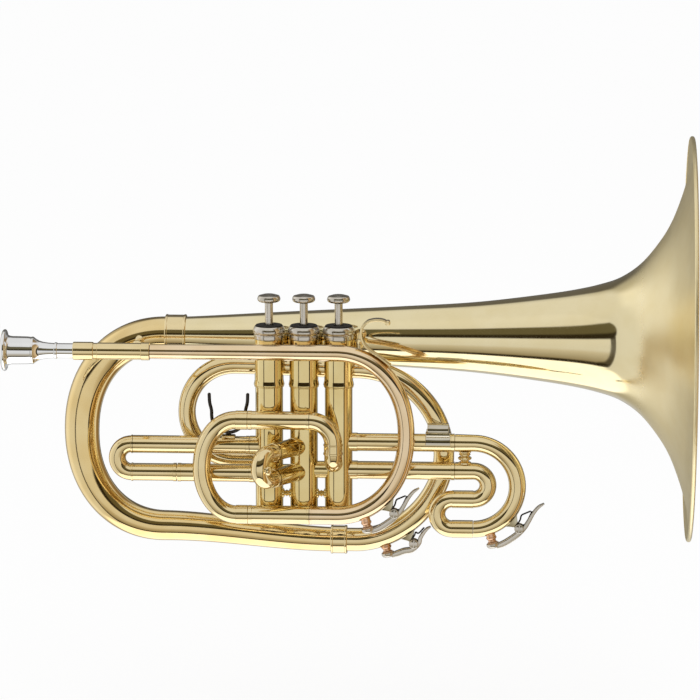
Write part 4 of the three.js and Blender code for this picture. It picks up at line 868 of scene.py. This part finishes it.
def secondSlideTubes():
    s = secondSlide
    for label, level in (("upper", s["upper"]), ("lower", s["upper"] - s["pitch"])):
        path = pipe(slideOut * s["from"] + axisZ * level, slideOut, (s["ring"][0], s["casing"] - s["from"]),
                    (legRadius, s["outer"]), s["ring"])
        dress(tube(f"secondSlide{label.title()}", path), f"second_slide_outer_{label}", "valveBrass")
    bend, joint = s["pitch"] / 2, s["casing"] + s["outer"] + s["ring"][1] + gap
    start = slideOut * (joint - s["leg"][1]) + axisZ * s["upper"]
    path = pipe(start, slideOut, s["leg"], s["seam"], s["sleeve"]).collar(crookRadius)
    path.halfTurn(-axisZ, -slideOut, bend, bend, 24).stretches(s["sleeve"], s["seam"], s["leg"])
    crook = tube("secondCrookTube", path, sides=56)
    foot = slideOut * (joint + s["seam"][1] + s["sleeve"][1] + bend) + axisZ * (s["upper"] - bend)
    knob = turned("pullKnob", knobShape, axisZ.cross(slideOut).normalized(), foot, 0.15, 40)
    dress(joinMeshes("secondSlideCrook", [crook, knob]), "second_slide_crook", body="second_slide")


secondSlideTubes()


# Third slide: outer bow and the S bend that folds back inside it

thirdSlide = {
    "upper": -11.2, "pitch": 19.0, "from": 28.2, "socket": (6.3, 7.7), "seam": 101.0, "bowAt": 113.4,
    "turnAt": 99.2, "leg": (5.1, 58.0), "tube": 5.7, "ring": 5.95, "outer": 29.35, "inner": 9.65, "postAt": 107.5,
}
postShape = [
    (-4.4, 0), (-4.4, 4.3), (-3.4, 4.2), (-2.9, 2.9), (-2.3, 2.4), (-1.9, 3.6), (-1.1, 4.5), (-0.4, 4.6),
    (0.3, 3.9), (0.6, 2.7), (1.0, 2.7), (1.3, 3.5), (1.9, 4.0), (2.5, 3.6), (2.9, 3.1), (3.3, 4.2), (4.2, 4.3),
    (4.2, 0),
]


def thirdSlideTubes():
    t = thirdSlide
    outer, inner, lower = t["outer"], t["inner"], t["upper"] - t["pitch"]
    outerLength = t["seam"] - t["from"] - t["socket"][1] - gap - endRing[1]
    for label, level in (("upper", t["upper"]), ("lower", lower)):
        path = pipe((t["from"], 0, level), axisX, t["socket"], (legRadius, outerLength), endRing)
        dress(tube(f"thirdSlide{label.title()}", path), f"third_slide_outer_{label}")

    def legAt(level):
        path = pipe((t["seam"] - t["leg"][1], 0, level), axisX, t["leg"]).collar(legRadius)
        return path.straight(t["bowAt"] - t["seam"], t["tube"])

    path = legAt(t["upper"]).halfTurn(-axisZ, -axisX, outer, outer, 40)
    dress(tube("thirdSlideBow", path), "third_slide_bow", body="third_slide")
    turnBack = (2 * outer - 2 * inner - t["pitch"]) / 2
    path = legAt(lower).halfTurn(-axisZ, -axisX, inner, inner, 28)
    path.stretches((t["ring"], t["bowAt"] - t["turnAt"])).collar(t["tube"])
    path.halfTurn(-axisZ, axisX, turnBack, turnBack, 28).stretches((t["ring"], t["bowAt"] - t["turnAt"] - gap))
    bend = tube("thirdBendTube", path)
    post = turned("thirdPost", postShape, axisZ, (t["postAt"], 0, (t["upper"] + lower) / 2), 0.15, 48)
    dress(joinMeshes("thirdSlideBend", [bend, post]), "third_slide_s_bend", body="third_slide")


thirdSlideTubes()
print("valve slides made")


# Branch tube behind the valves, the large bow and the ferrules

branch = {
    "port": -27.4, "bend": 32.6, "archAt": -47.2, "shoulderAt": 34.3, "drop": 2.2, "reach": 58.8, "foot": -81.8,
    "footAt": 22.6, "knuckle": 7.6, "lowerFullness": 1.88, "radii": (5.8, 6.4, 6.9, 7.9), "into": 5,
}
bow = {
    "radii": (8.1, 10.2, 11.7, 12.1), "level": -75.2, "sideAt": -152.4, "reach": 57.0, "fullness": 2.14,
    "offset": 24.0, "tail": -88.4,
}


def branchTube():
    b = branch
    first, top, shoulder, end = b["radii"]
    half = (b["port"] + 2 * b["bend"] - b["drop"] - b["foot"]) / 2
    path = TubePath((-valvePitch, b["into"], b["port"]), axisY, first).straight(behind - b["knuckle"] - b["into"])
    path.quarter(-axisX, b["knuckle"], b["knuckle"], 18).straight(-valvePitch - b["knuckle"] - b["archAt"])
    path.halfTurn(axisZ, axisX, b["bend"], b["bend"], 34, (None, top))
    path.drift(b["shoulderAt"] - b["archAt"], (0, 0, -b["drop"]), top, 24)
    path.quarter(-axisZ, b["reach"], half, 44, shoulder)
    path.quarter(-axisX, half, b["reach"], 44, end, b["lowerFullness"])
    path.straight(b["shoulderAt"] - b["footAt"] - gap)
    dress(tube("branchTube", path, tapered=True), "branch_tube")


def mainBow():
    b = bow
    start, mid, side, end = b["radii"]
    bendStart = b["sideAt"] + b["reach"]
    lean = Vector((0, (bellOffset - b["offset"]) / 2, (bellLevel - b["level"]) / 2))
    path = TubePath((branch["footAt"], behind, branch["foot"]), -axisX, start)
    path.drift(branch["footAt"] - bendStart, (0, b["offset"] - behind, b["level"] - branch["foot"]), mid, 30)
    path.halfTurn(lean, axisX, b["reach"], lean.length, 46, (side, end), b["fullness"])
    path.straight(b["tail"] - gap - bendStart)
    dress(tube("largeBow", path, wall=0.8, sides=64, tapered=True), "main_bow", "bowBrass")


def ferrule(name, centre, radius, length, node):
    # band with a raised ring at each end
    half = [(0.0, -0.9), (0.0, -0.3), (0.5, 0.12), (1.3, 0.12), (1.6, -0.2)]
    profile = [(-length / 2 + along, radius + proud) for along, proud in half]
    profile += [(length / 2 - along, radius + proud) for along, proud in reversed(half)]
    dress(turned(name, profile, axisX, centre, 0.15, 80), node)


branchTube()
mainBow()
ferrule("branchFerrule", (branch["footAt"], behind, branch["foot"]), 9.6, 11.0, "branch_ferrule")
ferrule("bellFerrule", (bow["tail"], bellOffset, bellLevel), 13.6, 14.0, "bell_ferrule")


# Bell: outline as shares of its length from the rim and of its mouth radius

bellSizes = {"rim": 258.8, "radius": 136.0, "wall": 0.8, "bead": 1.5}
bellShares = [
    (1, 0.089), (0.98, 0.0895), (0.77, 0.121), (0.57, 0.149), (0.42, 0.174), (0.3, 0.211), (0.229, 0.239),
    (0.18, 0.267), (0.14, 0.302), (0.1, 0.372), (0.061, 0.493), (0.041, 0.582), (0.022, 0.708), (0.012, 0.796),
    (0.004, 0.9),
]


def bell():
    s = bellSizes
    length = s["rim"] - bow["tail"]
    outline = [(s["rim"] - length * away, s["radius"] * share) for away, share in bellShares]
    rimRoot = (s["rim"] - 2 * s["bead"] + 0.3, s["radius"] - s["bead"] - 0.4)
    outside = smoothLine([*outline, rimRoot], 9)
    inside = []
    for index, here in enumerate(outside):
        slope = (outside[min(index + 1, len(outside) - 1)] - outside[max(index - 1, 0)]).normalized()
        inside.append(here + Vector((slope.y, -slope.x)) * s["wall"])
    centre = Vector((s["rim"] - s["bead"], s["radius"] - s["bead"]))
    turns = [radians(200 - step * 17) for step in range(19)]
    bead = [centre + Vector((cos(a), sin(a))) * s["bead"] for a in turns]
    profile = [tuple(p) for p in [*outside, *bead, *reversed(inside)]]
    dress(turned("bellFlare", profile, axisX, (0, bellOffset, bellLevel), 0.01, 160), "bell", "bellBrass")


bell()
print("branch tube, bow and bell made")


# Braces, finger hook and the bracket on the third slide

hook = {"foot": (58.4, 44.2), "reach": 19.4, "height": 30.4, "thickness": 1.7, "width": 7.0}
hookShares = [
    (0, 0), (-0.36, 0.18), (-0.7, 0.33), (-0.92, 0.49), (-1, 0.66), (-0.97, 0.82), (-0.8, 0.95), (-0.53, 1),
    (-0.26, 0.99), (-0.09, 0.94),
]
beadShape = [(-2.9, 0), (-2.9, 0.9), (-2.5, 1.5), (-1.8, 1.75), (1.8, 1.75), (2.5, 1.5), (2.9, 0.9), (2.9, 0)]
bracket = {"at": 89.6, "length": 16.6, "level": -11.2, "wall": 1.1, "hump": 5.0}
bracketLedge = [(-6.2, 5.4), (-6.6, 6.2), (-6.2, 7.3), (-5.2, 7.6), (9.0, 7.6), (9.0, 5.4)]


def strut(name, start, end, ballShare, node, radius=1.9, ball=3.6):
    # turned brace: a flared foot at each end and a ball between two rings
    start, end = Vector(start), Vector(end)
    length = (end - start).length
    foot = [(0, 0), (0, 4.4), (0.9, 4.2), (1.6, 3.0), (2.4, 2.1)]
    half = [(-ball - 0.6, radius), (-ball, radius + 0.6), (-ball + 0.5, radius + 0.1), (-ball * 0.72, ball * 0.7),
            (-ball * 0.35, ball * 0.94)]
    middle = [*half, (0, ball), *((-along, size) for along, size in reversed(half))]
    profile = foot + shifted(length * ballShare, middle)
    profile += [(length - along, size) for along, size in reversed(foot)]
    dress(turned(name, profile, end - start, start, 0.15, 48), node)


def fingerHook():
    x, z = hook["foot"]
    line = [(x + hook["reach"] * along, z + hook["height"] * up) for along, up in hookShares]
    band = strap("hookBand", line, hook["thickness"], hook["width"], front, 0.6,
                 lambda share: 1.0 if share < 0.86 else 1.0 - (share - 0.86) * 1.6)
    bead = turned("hookBead", beadShape, axisY, (line[-1][0], front, line[-1][1]), 0.2, 32)
    dress(joinMeshes("fingerHook", [band, bead]), "finger_hook")


def slideBracket():
    # half sleeve over the tube, a ledge on it and a rounded crown
    b = bracket
    half, hump = b["length"] / 2, b["hump"]
    outer = legRadius + gap + b["wall"]
    shell = []
    for size, turns in ((outer, range(-4, 185, 6)), (outer - b["wall"], range(184, -5, -6))):
        shell += [(size * cos(radians(a)), size * sin(radians(a))) for a in turns]
    arch = [pi * step / 18 for step in range(19)]
    crown = [(hump * cos(a) + 3.4, 7.4 + hump * 1.05 * sin(a)) for a in arch]
    parts = []
    for name, outline, inset, edge in (("bracketSaddle", shell, 0, 0.25), ("bracketDeck", bracketLedge, 0.4, 0.25),
                                       ("bracketCrown", crown, 1.2, 0.4)):
        parts.append(drawnOut(name, outline, -half + inset, half - inset, edge,
                              lambda along, y, z: (b["at"] + along, y, b["level"] + z)))
    dress(joinMeshes("slideBracket", parts), "slide_bracket", "bracketNickel")


strut("bellBrace", (36.6, front + 3.2, 49.6), (36.6, 14.4, 59.7), 0.52, "bell_brace")
strut("receiverBrace", (-112, front + 4.6, 51.9), (-112, 23.4, 51.9), 0.5, "receiver_brace")
fingerHook()
slideBracket()
print("braces, hook and bracket made")


# Floor, light and camera, in metres

studio = {
    "floorLevel": -0.21, "floorSize": 12.0, "white": 0.93, "whiteShare": 0.85,
    "lampAt": (0.5, -0.8, 2.2), "lampAim": (0.03, 0.01, 0.0), "lampSize": 1.6, "lampPower": 6,
}
camera = {"distance": 2.7, "azimuth": 3.0, "elevation": 10.5, "lens": 207.9, "sensor": 36, "farthest": 50,
          "target": (0.03021, 0.01073, 0.04926)}
# colour of the tent by angle: facing by height, sides by direction from the camera (right is positive)
olive = (0.135, 0.118, 0.065)
darkGap = (0.03, 0.022, 0.01)
brownSide = (0.45, 0.29, 0.12)
tent = {
    "facing": [
        (-90, 1.6), (-49, 1.6), (-47, darkGap), (-42, darkGap), (-39, (0.36, 0.31, 0.22)),
        (-32, (0.47, 0.43, 0.35)), (-21, (0.65, 0.61, 0.54)), (-15, 0.78), (6, 0.84), (9, darkGap), (16, darkGap),
        (20, olive), (36, olive), (39, 0.84), (60, 0.88), (90, 0.82),
    ],
    "sides": [
        (-180, 0.6), (-164, 0.58), (-156, (0.5, 0.48, 0.42)), (-148, (0.5, 0.48, 0.42)), (-136, (0.62, 0.6, 0.54)),
        (-122, 1.05), (-98, 1.0), (-80, 0.84), (-62, 0.82), (-48, 0.8), (43, 0.8), (46, darkGap), (52, darkGap),
        (56, (0.8, 0.59, 0.34)), (76, brownSide), (90, (0.38, 0.23, 0.09)), (94, 0.9), (108, 0.9),
        (113, (0.4, 0.28, 0.14)), (140, (0.22, 0.15, 0.08)), (152, 0.5), (180, 0.6),
    ],
    "roof": (42, 60, 0.84), "ground": (-49, -55, 1.6),
    "left": (-50, -46), "right": (46, 43), "bandMiddle": 23, "bandBulge": 0.03, "bandMost": 5.0,
    "seamAcross": (-43, -36, 0.8), "seamUp": (-45, 10, 1.0), "seamDepth": 0.85,
    "backAcross": (147, 162), "backUp": (-12, 42, 8), "backDepth": 0.8,
}


def mixShaders(tree, share, first, second):
    return addNode(tree, "ShaderNodeMixShader", {"Fac": share, 1: first, 2: second})


def floorFinish():
    # pale floor that keeps the soft shadow, reads white to the eye, and lets metal mirror the tent beyond it
    material, tree, place = newFinish("paleFloor")
    grey = addRamp(tree, addNoise(tree, place, 4, 2), [(0.3, (0.93,) * 3), (0.7, (0.94,) * 3)])
    fillShader(tree, {"Base Color": grey, "Roughness": 0.9, "Specular IOR Level": 0.0})
    paths = addNode(tree, "ShaderNodeLightPath").outputs
    eye = addNode(tree, "ShaderNodeMath", {0: paths["Is Camera Ray"], 1: studio["whiteShare"]},
                  operation="MULTIPLY")
    seen = mixShaders(tree, eye, tree.nodes["Principled BSDF"], addNode(tree, "ShaderNodeEmission"))
    mirrored = mixShaders(tree, paths["Is Glossy Ray"], seen, addNode(tree, "ShaderNodeBsdfTransparent"))
    put(tree, tree.nodes["Material Output"].inputs["Surface"], mirrored)
    return material


def makeFloor():
    half, level = studio["floorSize"] / 2, studio["floorLevel"]
    mesh = bpy.data.meshes.new("studioFloor")
    mesh.from_pydata([(x * half, y * half, level) for x, y in ((-1, -1), (1, -1), (1, 1), (-1, 1))], [],
                     [(0, 1, 2, 3)])
    mesh.materials.append(floorFinish())
    addObject("studioFloor", mesh)


def makeWorld():
    # white tent: plain for the eye and for soft light, with a dark frame round the camera's side in mirrors
    world = bpy.data.worlds.new("whiteTent")
    bpy.context.scene.world = world
    world.use_nodes = True
    tree = world.node_tree
    place = addNode(tree, "ShaderNodeTexCoord")
    split = addNode(tree, "ShaderNodeSeparateXYZ", {"Vector": place.outputs["Generated"]}).outputs

    def calc(operation, *values):
        return addNode(tree, "ShaderNodeMath", dict(enumerate(values)), operation=operation)

    def rising(source, low, high):
        # 0 at the low angle, 1 at the high one, and the other way round where low is the larger
        return addNode(tree, "ShaderNodeMapRange", {"From Min": low, "From Max": high, "Value": source},
                       interpolation_type="SMOOTHSTEP")

    def between(source, low, high, soft):
        return calc("MULTIPLY", rising(source, low - soft, low), rising(source, high + soft, high))

    def shades(source, low, high, stops):
        # colours by angle, greys given as one number
        share = calc("DIVIDE", calc("SUBTRACT", source, low), high - low)
        tones = [(angle, tone if isinstance(tone, tuple) else (tone,) * 3) for angle, tone in stops]
        return addRamp(tree, share, [((angle - low) / (high - low), tone) for angle, tone in tones])

    def blend(factor, first, second):
        # colour mix: its sockets 0, 6 and 7 take the share and the colours, and 2 gives the result
        second = (second, second, second, 1) if isinstance(second, float) else second
        return addNode(tree, "ShaderNodeMix", {0: factor, 6: first, 7: second}, data_type="RGBA").outputs[2]

    rise = calc("DEGREES", calc("ARCSINE", split["Z"]))
    around = calc("DEGREES", calc("ARCTAN2", split["X"], calc("MULTIPLY", split["Y"], -1.0)))
    walls = shades(around, -180, 180, tent["sides"])
    for low, high, grey in (tent["ground"], tent["roof"]):
        walls = blend(rising(rise, low, high), walls, grey)
    bulge = calc("POWER", calc("ABSOLUTE", calc("SUBTRACT", rise, tent["bandMiddle"])), 2.0)
    edge = calc("MINIMUM", calc("MULTIPLY", bulge, tent["bandBulge"]), tent["bandMost"])
    window = calc("MULTIPLY", rising(calc("SUBTRACT", around, edge), *tent["left"]), rising(around, *tent["right"]))
    seam = calc("MULTIPLY", between(around, *tent["seamAcross"]), between(rise, *tent["seamUp"]))
    backs = calc("MULTIPLY", rising(calc("ABSOLUTE", around), *tent["backAcross"]), between(rise, *tent["backUp"]))
    dark = calc("MAXIMUM", calc("MULTIPLY", seam, tent["seamDepth"]), calc("MULTIPLY", backs, tent["backDepth"]))
    mirrored = blend(dark, blend(window, walls, shades(rise, -90, 90, tent["facing"])), (*darkGap, 1))
    plain = addNode(tree, "ShaderNodeBackground", {"Color": (1, 1, 1, 1), "Strength": studio["white"]})
    sky = addNode(tree, "ShaderNodeBackground", {"Color": (1, 1, 1, 1)})
    tentLight = addNode(tree, "ShaderNodeBackground", {"Color": mirrored})
    paths = addNode(tree, "ShaderNodeLightPath").outputs
    lit = mixShaders(tree, paths["Is Glossy Ray"], plain, tentLight)
    view = mixShaders(tree, paths["Is Camera Ray"], lit, sky)
    put(tree, tree.nodes["World Output"].inputs["Surface"], view)


def makeLamp(name):
    light = bpy.data.lights.new(name, "AREA")
    light.energy, light.size = studio["lampPower"], studio["lampSize"]
    lamp = addObject(name, light)
    lamp.location = studio["lampAt"]
    lamp.rotation_euler = (Vector(studio["lampAim"]) - lamp.location).to_track_quat("-Z", "Y").to_euler()
    lamp.visible_glossy = False


def makeCamera(name):
    azimuth, elevation = radians(camera["azimuth"]), radians(camera["elevation"])
    away = Vector((sin(azimuth) * cos(elevation), -cos(azimuth) * cos(elevation),
                   sin(elevation)))
    data = bpy.data.cameras.new(name)
    data.lens, data.sensor_width, data.clip_end = camera["lens"], camera["sensor"], camera["farthest"]
    viewer = addObject(name, data)
    viewer.location = Vector(camera["target"]) + away * camera["distance"]
    viewer.rotation_euler = (-away).to_track_quat("-Z", "Y").to_euler()
    bpy.context.scene.camera = viewer


makeFloor()
makeWorld()
makeLamp("overheadSoftbox")
makeCamera("photoCamera")
bpy.context.scene.view_settings.view_transform = "Standard"
print("studio made")
